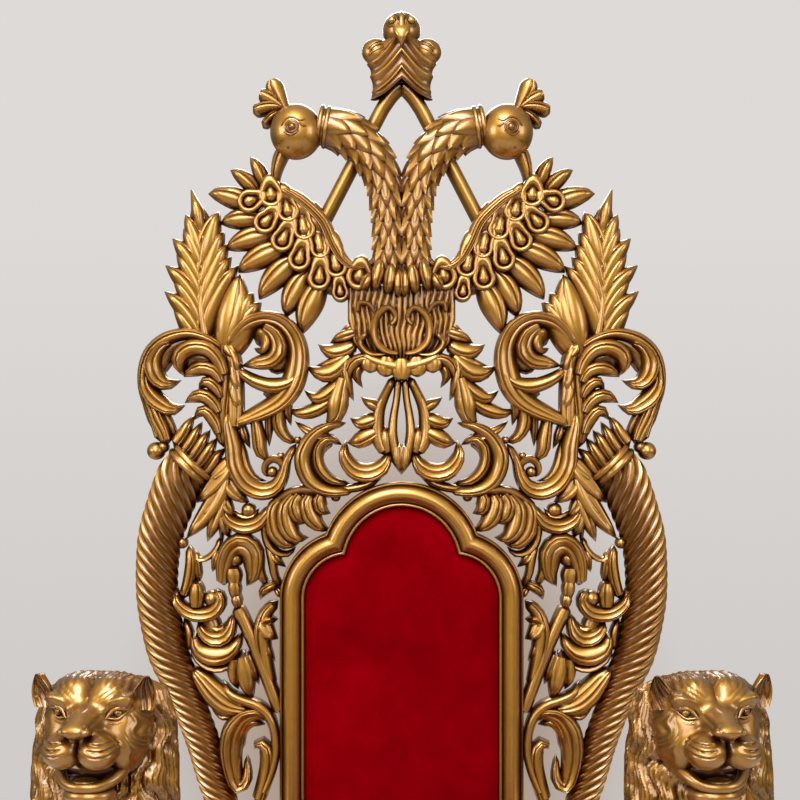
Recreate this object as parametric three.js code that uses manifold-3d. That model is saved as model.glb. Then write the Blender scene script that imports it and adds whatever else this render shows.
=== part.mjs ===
// Carved gilt throne with a tall openwork back, two lion posts, a velvet pad and a velvet cushion.
// Millimetres, +Z up, the front faces -Y, the origin lies on the floor in the middle of the footprint.
import * as THREE from "three";
import { mergeVertices } from "three/addons/utils/BufferGeometryUtils.js";
import Module from "manifold-3d";

const wasm = await Module();
wasm.setup();

// Driving sizes
const GAP = 0.35; // clearance between pieces that touch
const SQUARE = 1.5; // one square of the carver's pattern
const PATTERN_FOOT = 618; // height of the pattern's base line above the floor
const PATTERN_BOTTOM = -111; // the back's lowest edge, in squares
const BACK_Y = 268; // front of the openwork's ground
const PANEL_BACK = BACK_Y + 16; // rear of the openwork
const GROUND_RISE = 20; // rear of the openwork to the top of a narrow band
const CROWN = 0.5; // further rise of a band for each millimetre of half width
const HORN_Y = BACK_Y + 6; // axis of the horn posts
const HORN_STARTS = 6; // strands of the twist
const HORN_PITCH = 112; // squares in one turn
const STEPS_A_TURN = 8;
const STEPS_A_POINT = 0.8; // facets along a band for each point of its spine
const GROOVE = 0.84; // bottom of the twist's groove as a share of its radius
const RAIL_TOP = 440;
const RAIL_BOTTOM = 352;
const RAIL_THICK = 54;
const LEG_X = 252; // middle of the rear legs at the seat
const LEG_HALF = 30;
const REAR_FOOT_X = 300;
const REAR_FOOT_Y = 337;
const REAR_FOOT_HALF = 24;
const FRAME_HALF = 12.5; // half width of the back frame's moulding, in squares
const FRAME_SIDE = 109; // middle of the moulding's upright sides, in squares
const SHOULDER = { u: 53, v: 202, r: 56 };
const ARCH = { u: 0, v: 237, r: 69 };
const BOARD_FRONT = BACK_Y + 8;
const PAD_FRONT = BACK_Y - 6;
const LION_X = 362;
const LION_FACE_Y = BACK_Y - 540; // origin of the lion's head
const LION_FACE_Z = 815;
const BLOCK_HALF = 84; // half width of the block behind the mane
const STILE_HALF = 70; // half width of the post below the arm
const BLOCK_FRONT = BACK_Y - 520;
const BLOCK_REAR = BACK_Y - 375;
const NAPE_FRONT = 856;
const NAPE_REAR = 762;
const ARM_TOP = 612;
const CUSHION_HALF = 268;
const CUSHION_FRONT = -268;
const CUSHION_REAR = 222;
const CUSHION_RISE = 72;

const GOLD = 0xaa7d3c;
const CRIMSON = 0x82000c;

// The pattern of one half, in squares: u outward from the centre line, v up from the base line.
// A band is its widths followed by the points of its spine, a leaf is base u, v, tip u, v and width,
// and a ball is u, v and radius.
const SIDE_CARVING = {
  outerVolute: {
    bands: [[[10, 18, 23, 24, 22, 18, 16, 15, 15, 14], [242, 356], [248, 385], [253, 408], [254, 428],
      [247, 446], [232, 459], [212, 464], [194, 458], [182, 442], [176, 416]]],
    leaves: [[252, 404, 219, 394, 14], [253, 428, 222, 419, 14]],
    balls: [[245, 349, 8]],
  },
  innerCurl: {
    bands: [[[24, 26, 22, 20, 18, 14, 10, 6], [172, 352], [177, 388], [180, 415], [188, 435], [202, 445],
      [216, 442], [223, 432], [218, 423]]],
    leaves: [[180, 408, 203, 416, 14], [178, 390, 216, 398, 15], [176, 360, 218, 366, 20]],
  },
  rightVolute: {
    bands: [
      [[14, 18, 20, 22, 22, 21, 20, 18, 16, 14, 12, 10], [170, 360], [150, 384], [130, 396], [114, 412],
        [105, 432], [105, 452], [113, 468], [127, 477], [143, 477], [156, 469], [165, 455], [168, 440]],
      [[16, 17, 15, 12, 1], [134, 474], [123, 456], [131, 441], [146, 435], [160, 431]],
    ],
    leaves: [[120, 410, 140, 408, 13]],
  },
  hangingLeaves: {
    bands: [
      [[14, 17, 14, 1], [127, 396], [137, 372], [140, 350], [134, 334]],
    ],
    leaves: [[138, 372, 153, 352, 11], [116, 406, 111, 374, 11]],
  },
  scroll: {
    bands: [
      [[14, 17, 19, 18, 16, 14, 12, 10, 7], [162, 372], [168, 345], [165, 325], [153, 311], [137, 308],
        [123, 315], [117, 329], [121, 339], [130, 338]],
      [[8, 7, 4], [118, 326], [114, 345], [104, 359]],
    ],
    balls: [[131, 331, 7]],
    leaves: [[186, 330, 166, 354, 20]],
  },
  crescentWithEye: {
    bands: [[[5, 9, 12, 11, 8, 5], [177, 294], [169, 278], [155, 272], [142, 278], [136, 289], [145, 297]]],
    balls: [[151, 292, 6]],
  },
  shoulderStem: { bands: [[[9, 9, 8, 6], [135, 256], [128, 232], [126, 215], [140, 200]]] },
  hook: {
    bands: [
      [[8, 12, 15, 16, 15, 12, 8, 4], [178, 208], [178, 238], [169, 254], [156, 258], [147, 249], [146, 230],
        [144, 216], [134, 212]],
      [[15, 13, 11, 10, 10, 10], [165, 246], [165, 215], [163, 190], [145, 150], [127, 102], [120, 82]],
    ],
    leaves: [[182, 256, 174, 232, 12]],
  },
  tulip: {
    bands: [
      [[6, 10, 9, 5], [219, 262], [215, 230], [220, 206], [222, 196]],
      [[5, 9, 13, 11, 6], [226, 208], [219, 193], [204, 184], [188, 188], [179, 204]],
    ],
    leaves: [[203, 184, 203, 219, 16]],
    balls: [[189, 203, 8]],
  },
  moons: {
    bands: [
      [[4, 9, 11, 10, 8, 7], [203, 178], [192, 159], [180, 157], [170, 168], [168, 190], [170, 206]],
      [[5, 11, 15, 13, 6], [211, 168], [202, 146], [185, 136], [168, 142], [159, 162]],
      [[6, 7, 4], [222, 190], [213, 166], [210, 134]],
    ],
    leaves: [[160, 160, 152, 98, 20]],
  },
  frameLeaf: {
    bands: [[[7, 11, 13, 11, 7], [124, 199], [136, 186], [140, 166], [137, 142], [128, 112]]],
    leaves: [[139, 178, 124, 168, 12]],
  },
  waveLeaf: {
    bands: [[[8, 14, 17, 17, 14, 6], [128, 76], [147, 91], [166, 96], [184, 108], [199, 120], [210, 134]]],
    leaves: [[168, 96, 179, 119, 11], [172, 98, 190, 84, 12]],
  },
  bottomHook: {
    bands: [
      [[10, 13, 15, 15, 14, 13, 13, 14], [182, 50], [172, 70], [156, 83], [140, 80], [128, 65], [125, 45],
        [132, 22], [145, -2]],
      [[13, 13, 12, 9, 5], [178, 60], [170, 35], [162, 15], [151, 25], [152, 44]],
    ],
    leaves: [[128, 34, 147, 56, 12]],
  },
  footScroll: {
    bands: [
      [[14, 14, 12, 11, 9], [145, -2], [150, -24], [146, -46], [133, -56], [119, -50]],
      [[8, 12, 12, 10, 8], [150, -40], [146, -68], [134, -82], [124, -96], [126, -113]],
    ],
  },
};

const CREST_CARVING = {
  chestLeaves: {
    leaves: [[44, 458, 82, 455, 18], [44, 446, 94, 431, 20], [60, 420, 97, 409, 15], [66, 404, 112, 389, 12],
      [46, 436, 46, 411, 13]],
    bands: [
      [[16, 20, 18, 2], [52, 440], [62, 420], [67, 400], [74, 376]],
      [[11, 13, 12, 3], [24, 442], [40, 437], [49, 422], [51, 401]],
    ],
    balls: [[28, 428, 9], [10, 422, 11]],
  },
  palmette: {
    bands: [
      [[7, 7, 7, 7], [8, 420], [23, 395], [25, 370], [14, 346]],
      [[7, 7, 7, 8], [2, 418], [10, 388], [13, 362], [3, 338]],
    ],
    leaves: [[20, 390, 39, 401, 11], [22, 376, 52, 379, 13], [22, 362, 53, 356, 13], [2, 350, 2, 326, 10]],
  },
  centreScroll: {
    bands: [
      [[6, 14, 19, 21, 21, 18, 12, 8], [54, 372], [76, 370], [90, 359], [94, 342], [90, 326], [78, 315],
        [60, 311], [38, 314]],
      [[6, 11, 12, 11, 5], [58, 358], [59, 343], [50, 332], [35, 330], [12, 350]],
      [[8, 8, 6, 4], [78, 316], [52, 318], [30, 322], [8, 340]],
    ],
    leaves: [[84, 360, 106, 378, 10]],
  },
  peacock: {
    bands: [
      [[40, 39, 37, 35, 30, 27, 25, 25, 26], [84, 674], [60, 669], [43, 658], [29, 642], [19, 622], [15, 598],
        [13, 570], [13, 540], [13, 500]],
      [[14, 11, 7], [120, 648], [125, 632], [126, 612]],
      [[16, 17, 8], [113, 686], [122, 704], [130, 720]],
      [[7, 8, 10], [118, 682], [130, 694], [142, 702]],
      [[7, 8, 9], [120, 680], [134, 682], [147, 685]],
    ],
    balls: [[141, 701, 8], [146, 685, 7]],
  },
  strut: { bands: [[[11, 11], [8, 714], [82, 572]]] },
};

// A frond is one leaf with lobes: its rib from base to tip, the tips of the lobes on either side of each
// rib point, and how far the notches between the lobes lie out from the rib.
const FRONDS = {
  plume: {
    rib: [[200, 446], [200, 478], [200, 487], [200, 500], [200, 511], [200, 525], [200, 536], [200, 552],
      [201, 564], [210, 609]],
    outer: [[229, 492], [238, 509], [227, 521], [236, 535], [224, 546], [229, 562], [218, 571], [216, 584]],
    inner: [[135, 490], [143, 504], [157, 515], [165, 536], [173, 543], [174, 557], [179, 568], [183, 588]],
    notches: [0.5, 0.55],
  },
  wing: {
    rib: [[134, 622], [132, 606], [130, 598], [126, 590], [120, 580], [112, 568], [104, 556], [96, 544],
      [86, 532], [72, 522], [16, 512]],
    outer: [[152, 643], [172, 630], [193, 607], [181, 578], [175, 552], [163, 529], [143, 502], [116, 484],
      [100, 467]],
    inner: [[126, 616], [117, 611], [109, 606], [101, 601], [90, 592], [79, 580], [70, 562], [60, 543],
      [42, 534]],
    notches: [0.5, 1],
  },
  shoulderAcanthus: {
    rib: [[128, 232], [132, 258], [129, 276], [120, 290], [107, 298], [92, 303], [66, 300]],
    outer: [[139, 258], [138, 278], [130, 294], [113, 309], [92, 314]],
    inner: [[112, 243], [105, 251], [93, 259], [74, 268], [71, 286]],
    notches: [1, 0.45],
  },
  spray: {
    rib: [[168, 338], [174, 318], [177, 302], [179, 286], [180, 272], [180, 256]],
    outer: [[196, 317], [205, 297], [209, 277], [217, 261]],
    inner: [[166, 316], [153, 297], [166, 286], [171, 262]],
    notches: [0.3, 0.3],
  },
};

// Eye feathers of the wing: centre u, v, tail u, v and radius
const EYE_FEATHERS = [
  [130, 604, 130, 616, 12], [113, 588, 119, 610, 11], [97, 570, 104, 600, 11], [81, 551, 90, 592, 10],
  [65, 533, 72, 558, 11], [42, 523, 40, 535, 13], [152, 598, 138, 604, 11], [136, 577, 124, 592, 11],
  [119, 559, 110, 578, 11], [102, 540, 97, 560, 11], [82, 521, 80, 540, 11], [61, 507, 63, 522, 8],
];
const HEAD = { u: 105, v: 667, ru: 26, rv: 28, rise: 24 };
const SHIELD = [[54, 512], [54, 480], [49, 458], [40, 446], [22, 436], [0, 432]];
const FINIAL_BALL = { v: 769, r: 19 };
const FINIAL_LOBE = { u: 24, v: 747, r: 15 };
const FINIAL_BODY = [[16, 762], [36, 748], [34, 728], [30, 712], [31, 702]];

// The horn's centre line and its full widths, in squares, from the collar down
const HORN_LINE = [[214, 333], [218, 328.5], [224, 316], [231, 297], [241, 266], [244.5, 238], [245, 210],
  [243, 190], [237, 160], [231, 140], [218, 110], [207, 80], [198, 55], [188, 20], [181, 0], [174, -30],
  [169, -60], [168, -84]];
const HORN_WIDTHS = [46, 48, 46, 43, 42, 41, 41, 41, 39, 35, 33, 33, 32, 32, 31, 31, 32];
// Collar at the horn's mouth: distance along the axis from its first point, and radius
const COLLAR_HALF = 26.4;
const COLLAR_LONG = 13.5;
const COLLAR = [[0, 24], [2, 25.6], [4.5, 25.6], [6.5, 24], [8.5, COLLAR_HALF], [11.5, COLLAR_HALF],
  [COLLAR_LONG, 24]];

// Masses of the lion's head about its origin: centre, half sizes and softness of the join.
// The mouth is cut out of them.
const LION_SKULL = [[0, 22, 16], [60, 58, 60]];
const LION_MASSES = [[[30, 14, 38], [33, 42, 35], 20], [[0, -36, 24], [20, 46, 20], 22],
  [[37, 2, -6], [23, 38, 34], 22], [[21, -56, -6], [24, 26, 21], 10], [[0, -80, 21], [20, 10, 8], 8],
  [[35, -26, 50], [21, 11, 6], 10], [[0, -26, -58], [33, 32, 14], 8]];
const LION_MOUTH = [[0, -62, -37], [34, 42, 9]];
const LION_EAR = [62, 8, 46];
// The mane's rings: half width, front before the face, height above the floor and half depth
const MANE = [[52, 20, 868, 40], [76, 0, 848, 58], [80, -8, 780, 66], [82, -22, 700, 70], [80, -16, 600, 66],
  [64, 10, 500, 40]];
const MANE_LOCKS = 14;

// Cuts through the back reach from well before it to well behind it
const CUT_FRONT = BACK_Y - 70;
const CUT_REAR = PANEL_BACK + 40;

function solidOf(geometry) {
  const bare = geometry.index ? geometry.clone() : mergeVertices(geometry);
  bare.deleteAttribute("normal");
  bare.deleteAttribute("uv");
  const merged = mergeVertices(bare, 1e-4);
  const vertProperties = new Float32Array(merged.attributes.position.array);
  const triVerts = new Uint32Array(merged.index.array);
  const made = new wasm.Manifold(new wasm.Mesh({ numProp: 3, vertProperties, triVerts }));
  if (made.volume() > 0) return made;
  const turned = triVerts.slice();
  for (let i = 0; i < turned.length; i += 3) [turned[i], turned[i + 1]] = [turned[i + 1], turned[i]];
  return new wasm.Manifold(new wasm.Mesh({ numProp: 3, vertProperties, triVerts: turned }));
}

function geometryOf(solid) {
  const mesh = solid.getMesh();
  const geometry = new THREE.BufferGeometry();
  const positions = new Float32Array(mesh.numVert * 3);
  for (let i = 0; i < mesh.numVert; i += 1) {
    const first = mesh.numProp * i;
    positions.set(mesh.vertProperties.subarray(first, first + 3), 3 * i);
  }
  geometry.setAttribute("position", new THREE.BufferAttribute(positions, 3));
  geometry.setIndex(new THREE.BufferAttribute(new Uint32Array(mesh.triVerts), 1));
  return geometry;
}

function joined(solids) {
  let level = solids;
  while (level.length > 1) {
    const next = [];
    for (let i = 0; i < level.length; i += 2) {
      next.push(i + 1 < level.length ? level[i].add(level[i + 1]) : level[i]);
    }
    level = next;
  }
  return level[0];
}

// A closed skin over rings of equally many points, with a fan over the first and the last ring
function loft(rings) {
  const count = rings[0].length;
  const indices = [];
  for (let i = 0; i + 1 < rings.length; i += 1) {
    for (let j = 0; j < count; j += 1) {
      const a = i * count + j;
      const b = i * count + ((j + 1) % count);
      indices.push(a, b, a + count, b, b + count, a + count);
    }
  }
  const last = (rings.length - 1) * count;
  for (let j = 1; j + 1 < count; j += 1) {
    indices.push(0, j + 1, j);
    indices.push(last, last + j, last + j + 1);
  }
  const geometry = new THREE.BufferGeometry();
  geometry.setAttribute("position", new THREE.Float32BufferAttribute(rings.flat(2), 3));
  geometry.setIndex(indices);
  return solidOf(geometry);
}

function ellipsoid(centre, radii, sides = 8, rows = 5) {
  const ball = new THREE.SphereGeometry(1, sides, rows);
  ball.scale(...radii);
  ball.translate(...centre);
  return solidOf(ball);
}

// A lock, toe or leaf in space: an eight sided spindle from root to tip with its widest place in between
function spindle(root, tip, sideways, width, thick, widest = 0.45) {
  const a = new THREE.Vector3(...root);
  const b = new THREE.Vector3(...tip);
  const along = b.clone().sub(a).normalize();
  const across = new THREE.Vector3(...sideways);
  across.addScaledVector(along, -across.dot(along)).normalize();
  const outward = across.clone().cross(along);
  const middle = a.clone().lerp(b, widest);
  across.multiplyScalar(width / 2);
  outward.multiplyScalar(thick / 2);
  const corner = (s, t) => middle.clone().addScaledVector(across, s).addScaledVector(outward, t);
  const points = [a, b, corner(1, 0), corner(0, 1), corner(-1, 0), corner(0, -1)];
  const indices = [];
  for (let i = 0; i < 4; i += 1) {
    const p = 2 + i;
    const q = 2 + ((i + 1) % 4);
    indices.push(0, p, q, 1, q, p);
  }
  const geometry = new THREE.BufferGeometry();
  geometry.setFromPoints(points);
  geometry.setIndex(indices);
  return solidOf(geometry);
}

const place = (side, u, v, y) => [side * SQUARE * u, y, PATTERN_FOOT + SQUARE * v];

function widthAt(widths, t) {
  const at = t * (widths.length - 1);
  const i = Math.min(Math.floor(at), widths.length - 2);
  return widths[i] + (at - i) * (widths[i + 1] - widths[i]);
}

// A carved band: its spine in the panel's plane, a flat back and a ridge that stands higher where it is wide
function band(side, [widths, ...line]) {
  const curve = new THREE.CatmullRomCurve3(line.map(([u, v]) => new THREE.Vector3(u, v, 0)));
  const steps = Math.max(2, Math.round((line.length - 1) * STEPS_A_POINT));
  const rings = [];
  for (let i = 0; i <= steps; i += 1) {
    const t = i / steps;
    const at = curve.getPoint(t);
    const along = curve.getTangent(t);
    const half = widthAt(widths, t) / 2;
    const ridge = PANEL_BACK - GROUND_RISE - CROWN * half * SQUARE;
    rings.push([
      place(side, at.x - along.y * half, at.y + along.x * half, PANEL_BACK),
      place(side, at.x + along.y * half, at.y - along.x * half, PANEL_BACK),
      place(side, at.x, at.y, ridge),
    ]);
  }
  return loft(rings);
}

// A kite from base to tip, widest at a share of its length, with one raised point there
function kite(side, [u0, v0, u1, v1, width], widest, base, top) {
  const long = Math.hypot(u1 - u0, v1 - v0);
  const nu = -(v1 - v0) / long * width / 2;
  const nv = (u1 - u0) / long * width / 2;
  const at = (t, s) => [u0 + t * (u1 - u0) + s * nu, v0 + t * (v1 - v0) + s * nv];
  const points = [
    place(side, ...at(0, 0), base), place(side, ...at(widest, 1), base), place(side, ...at(1, 0), base),
    place(side, ...at(widest, -1), base), place(side, ...at(widest, 0), top),
  ];
  const geometry = new THREE.BufferGeometry();
  geometry.setAttribute("position", new THREE.Float32BufferAttribute(points.flat(), 3));
  geometry.setIndex([0, 1, 2, 0, 2, 3, 0, 4, 1, 1, 4, 2, 2, 4, 3, 3, 4, 0]);
  return solidOf(geometry);
}

function leaf(side, outline) {
  const width = outline[4];
  return kite(side, outline, 0.45, PANEL_BACK, PANEL_BACK - GROUND_RISE - CROWN * width / 2 * SQUARE);
}

// A ball standing on the panel: a five sided drum with a narrower top
function stud(side, [u, v, r]) {
  const ring = (radius, y) => Array.from({ length: 5 }, (_, k) => {
    const turn = 2 * Math.PI * k / 5;
    return place(side, u + radius * Math.cos(turn), v + radius * Math.sin(turn), y);
  });
  return loft([ring(r, PANEL_BACK), ring(r * 0.6, PANEL_BACK - GROUND_RISE - r * SQUARE * 0.6)]);
}

// A lobed leaf in one piece: each lobe is two facets between its tip, the notches beside it and its rib point
function frond(side, { rib, outer, inner, notches }) {
  const count = outer.length;
  const ribs = rib.slice(1, -1);
  const between = ([u0, v0], [u1, v1], t) => [u0 + t * (u1 - u0), v0 + t * (v1 - v0)];
  const points = [];
  const add = (u, v, y) => points.push(place(side, u, v, y)) - 1;
  const base = add(...rib[0], PANEL_BACK);
  const apex = add(...rib.at(-1), PANEL_BACK);
  const width = (i) => Math.hypot(outer[i][0] - inner[i][0], outer[i][1] - inner[i][1]) / 2;
  const top = (i) => PANEL_BACK - GROUND_RISE - CROWN * Math.min(width(i), 16) * SQUARE;
  const front = ribs.map(([u, v], i) => add(u, v, top(i)));
  const back = ribs.map(([u, v]) => add(u, v, PANEL_BACK));
  const indices = [];
  [outer, inner].forEach((tips, hand) => {
    const ends = tips.map(([u, v]) => add(u, v, PANEL_BACK));
    const dips = tips.slice(1).map((tip, i) => {
      const root = between(ribs[i], ribs[i + 1], 0.5);
      return add(...between(root, between(tips[i], tip, 0.5), notches[hand]), PANEL_BACK);
    });
    const facet = (a, b, c, flip) => indices.push(...(flip ? [b, a, c] : [a, b, c]));
    [front, back].forEach((middle, layer) => {
      const flip = (layer + hand) % 2 === 1;
      facet(base, ends[0], middle[0], flip);
      for (let i = 0; i + 1 < count; i += 1) {
        facet(ends[i], dips[i], middle[i], flip);
        facet(dips[i], ends[i + 1], middle[i + 1], flip);
        facet(dips[i], middle[i + 1], middle[i], flip);
      }
      facet(ends[count - 1], apex, middle[count - 1], flip);
    });
  });
  const geometry = new THREE.BufferGeometry();
  geometry.setAttribute("position", new THREE.Float32BufferAttribute(points.flat(), 3));
  geometry.setIndex(indices);
  return solidOf(geometry);
}

function ornament(side, { bands = [], leaves = [], balls = [] }) {
  return [
    ...bands.map((one) => band(side, one)),
    ...leaves.map((one) => leaf(side, one)),
    ...balls.map((one) => stud(side, one)),
  ];
}

// An eye feather: a drop with its raised point near the round end, standing on the wing
function eyeFeather(side, [u, v, tailU, tailV, r]) {
  const reach = 1 + r / Math.hypot(u - tailU, v - tailV);
  const end = [tailU + (u - tailU) * reach, tailV + (v - tailV) * reach];
  return kite(side, [tailU, tailV, ...end, 2 * r], 1 / reach, BACK_Y - 3, BACK_Y - 20);
}

// Overlapping pointed feathers down the neck
function neckScales(side, [widths, ...line]) {
  const curve = new THREE.CatmullRomCurve3(line.map(([u, v]) => new THREE.Vector3(u, v, 0)));
  const rows = 6;
  const scales = [];
  for (let i = 0; i < rows; i += 1) {
    const t = 0.06 + 0.84 * i / rows;
    const at = curve.getPoint(t);
    const ahead = curve.getPoint(t + 0.1);
    const half = widthAt(widths, t) / 2;
    const y = PANEL_BACK - GROUND_RISE - CROWN * half * SQUARE;
    const root = place(side, at.x, at.y, y + 5);
    const tip = place(side, ahead.x, ahead.y, y - 3);
    scales.push(spindle(root, tip, [1, 0, side], half * SQUARE * 1.3, 9, 0.6));
  }
  return scales;
}

function finial() {
  const pieces = [ellipsoid(place(1, 0, FINIAL_BALL.v, BACK_Y), Array(3).fill(FINIAL_BALL.r * SQUARE), 8, 5)];
  const outline = (half, v) => {
    const depth = 12 + half * 0.35;
    return [[-1, 0.4], [0, 1], [1, 0.4], [1, -0.4], [0, -1], [-1, -0.4]].map(
      ([a, b]) => place(1, a * half, v, BACK_Y + b * depth));
  };
  pieces.push(loft(FINIAL_BODY.map(([half, v]) => outline(half, v))));
  for (const side of [-1, 1]) {
    const lobe = place(side, FINIAL_LOBE.u, FINIAL_LOBE.v, BACK_Y);
    pieces.push(ellipsoid(lobe, Array(3).fill(FINIAL_LOBE.r * SQUARE), 6, 4));
    const rib = [place(side, 2, 742, BACK_Y - 22), place(side, 30, 714, BACK_Y - 14)];
    pieces.push(spindle(...rib, [0, 1, 0], 12, 12));
  }
  pieces.push(spindle(place(1, 0, 778, BACK_Y - 24), place(1, 0, 751, BACK_Y - 28), [1, 0, 0], 26, 14, 0.3));
  return pieces;
}

function shield() {
  const right = SHIELD.slice(0, -1);
  const half = [...right, SHIELD.at(-1), ...right.slice().reverse().map(([u, v]) => [-u, v])];
  const ring = (scale, y) => half.map(([u, v]) => place(1, u * scale, 474 + (v - 474) * scale, y));
  return loft([ring(1, PANEL_BACK), ring(1, PANEL_BACK - GROUND_RISE), ring(0.75, BACK_Y - 14)]);
}

function largestBody(solid) {
  const bodies = solid.decompose();
  return bodies.reduce((best, one) => (one.volume() > best.volume() ? one : best));
}

function openwork(cutters) {
  const pieces = [shield(), ...finial()];
  for (const side of [-1, 1]) {
    for (const one of Object.values(SIDE_CARVING)) pieces.push(...ornament(side, one));
    for (const one of Object.values(CREST_CARVING)) pieces.push(...ornament(side, one));
    for (const one of Object.values(FRONDS)) pieces.push(frond(side, one));
    for (const one of EYE_FEATHERS) pieces.push(eyeFeather(side, one));
    pieces.push(...neckScales(side, CREST_CARVING.peacock.bands[0]));
    const head = place(side, HEAD.u, HEAD.v, BACK_Y - 8);
    pieces.push(ellipsoid(head, [HEAD.ru * SQUARE, HEAD.rise * SQUARE, HEAD.rv * SQUARE], 10, 6));
  }
  let whole = joined(pieces);
  for (const cutter of cutters) whole = whole.subtract(cutter);
  return largestBody(whole);
}

// A ring across the horn's axis; shape gives the radius at an angle
function axisRing(side, at, along, radiusAt, count, turn) {
  return Array.from({ length: count }, (_, k) => {
    const angle = 2 * Math.PI * k / count;
    const r = radiusAt(k);
    const across = r * Math.cos(angle + turn);
    const ahead = SQUARE * r * Math.sin(angle + turn);
    return place(side, at.x - along.y * across, at.y + along.x * across, HORN_Y - ahead);
  });
}

const hornCurve = new THREE.CatmullRomCurve3(HORN_LINE.map(([u, v]) => new THREE.Vector3(u, v, 0)));

function squareRing(x, y, z, half, side) {
  const corners = [[-1, -0.7], [-0.7, -1], [0.7, -1], [1, -0.7], [1, 0.7], [0.7, 1], [-0.7, 1], [-1, 0.7]];
  return corners.map(([a, b]) => [side * (x + a * half), y + b * half, z]);
}

// The twisted horn: its section is a star with a point for each strand that turns along the axis
function backPost(side) {
  const length = hornCurve.getLength();
  const steps = Math.round(length / HORN_PITCH * STEPS_A_TURN);
  const points = 2 * HORN_STARTS;
  const rings = [];
  const start = hornCurve.getPointAt(0);
  const mouth = hornCurve.getTangentAt(0);
  for (const [back, radius] of COLLAR.slice().reverse()) {
    const at = start.clone().addScaledVector(mouth, -back);
    rings.push(axisRing(side, at, mouth, () => radius, points, 0));
  }
  rings.pop();
  for (let i = 0; i <= steps; i += 1) {
    const t = i / steps;
    const turn = 2 * Math.PI * i / STEPS_A_TURN;
    const radius = widthAt(HORN_WIDTHS, t) / 2;
    const star = (k) => (k % 2 ? GROOVE : 1) * radius;
    rings.push(axisRing(side, hornCurve.getPointAt(t), hornCurve.getTangentAt(t), star, points, turn));
  }
  const horn = loft(rings);
  const foot = place(1, ...HORN_LINE.at(-1), 0);
  const leg = loft([
    squareRing(LEG_X, HORN_Y, foot[2] + 26, LEG_HALF + 2, side),
    squareRing(LEG_X, HORN_Y, RAIL_BOTTOM - 10, LEG_HALF + 2, side),
    squareRing(LEG_X + 4, HORN_Y + 4, RAIL_BOTTOM - 34, LEG_HALF - 4, side),
    squareRing((LEG_X + REAR_FOOT_X) / 2 - 8, (HORN_Y + REAR_FOOT_Y) / 2 - 10, 180, LEG_HALF - 8, side),
    squareRing(REAR_FOOT_X, REAR_FOOT_Y, 22, REAR_FOOT_HALF, side),
    squareRing(REAR_FOOT_X, REAR_FOOT_Y, 0, REAR_FOOT_HALF, side),
  ]);
  return horn.add(leg);
}

// Room for a post in the openwork: the outline of the horn, its collar and its block, cut straight through
function postCutter(side) {
  const clear = 1.5 + GAP / SQUARE;
  const mouth = hornCurve.getTangentAt(0);
  const start = hornCurve.getPointAt(0);
  const edges = [COLLAR_LONG + 1, 0].map((back) => {
    const at = start.clone().addScaledVector(mouth, -back);
    return [at, mouth, COLLAR_HALF + clear];
  });
  const steps = 14;
  for (let i = 1; i <= steps; i += 1) {
    const t = i / steps;
    edges.push([hornCurve.getPointAt(t), hornCurve.getTangentAt(t), widthAt(HORN_WIDTHS, t) / 2 + clear]);
  }
  const edge = (hand) => edges.map(([at, along, half]) => {
    const out = hand * half;
    return [side * (at.x - along.y * out), at.y + along.x * out];
  });
  const reach = (LEG_HALF + 2 + GAP) / SQUARE;
  const leg = LEG_X / SQUARE;
  const foot = HORN_LINE.at(-1)[1] + 18;
  const below = PATTERN_BOTTOM - 4;
  const corners = [[leg - reach, foot], [leg - reach, below], [leg + reach, below], [leg + reach, foot]];
  const block = slab(corners.map(([u, v]) => [side * u, v]), CUT_FRONT, CUT_REAR);
  return slab([...edge(1), ...edge(-1).reverse()], CUT_FRONT, CUT_REAR).add(block);
}

function circlesMeet(a, b) {
  const apart = Math.hypot(b.u - a.u, b.v - a.v);
  const along = (a.r ** 2 - b.r ** 2 + apart ** 2) / (2 * apart);
  const off = Math.sqrt(a.r ** 2 - along ** 2);
  const du = (b.u - a.u) / apart;
  const dv = (b.v - a.v) / apart;
  return [a.u + along * du + off * dv, a.v + along * dv - off * du];
}

// Middle line of the frame's moulding from the lower left, over the trefoil arch, to the lower right
function framePath() {
  const [cuspU, cuspV] = circlesMeet(SHOULDER, ARCH);
  const half = [[FRAME_SIDE, PATTERN_BOTTOM + FRAME_HALF]];
  const shoulderEnd = Math.atan2(cuspV - SHOULDER.v, cuspU - SHOULDER.u);
  const shoulderSteps = 5;
  for (let i = 0; i <= shoulderSteps; i += 1) {
    const turn = shoulderEnd * i / shoulderSteps;
    half.push([SHOULDER.u + SHOULDER.r * Math.cos(turn), SHOULDER.v + SHOULDER.r * Math.sin(turn)]);
  }
  const archStart = Math.atan2(cuspV - ARCH.v, cuspU - ARCH.u);
  const archSteps = 5;
  for (let i = 1; i <= archSteps; i += 1) {
    const turn = archStart + (Math.PI / 2 - archStart) * i / archSteps;
    half.push([ARCH.r * Math.cos(turn), ARCH.v + ARCH.r * Math.sin(turn)]);
  }
  return [...half, ...half.slice(0, -1).reverse().map(([u, v]) => [-u, v])];
}

// The closed path moved outward by a number of squares, mitred at every corner
function offsetPath(path, distance) {
  return path.map(([u, v], i) => {
    const before = path[(i + path.length - 1) % path.length];
    const after = path[(i + 1) % path.length];
    const normal = ([u0, v0], [u1, v1]) => {
      const long = Math.hypot(u1 - u0, v1 - v0);
      return [(v1 - v0) / long, -(u1 - u0) / long];
    };
    const [au, av] = normal(before, [u, v]);
    const [bu, bv] = normal([u, v], after);
    const reach = distance / (1 + au * bu + av * bv);
    return [u + (au + bu) * reach, v + (av + bv) * reach];
  });
}

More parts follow.
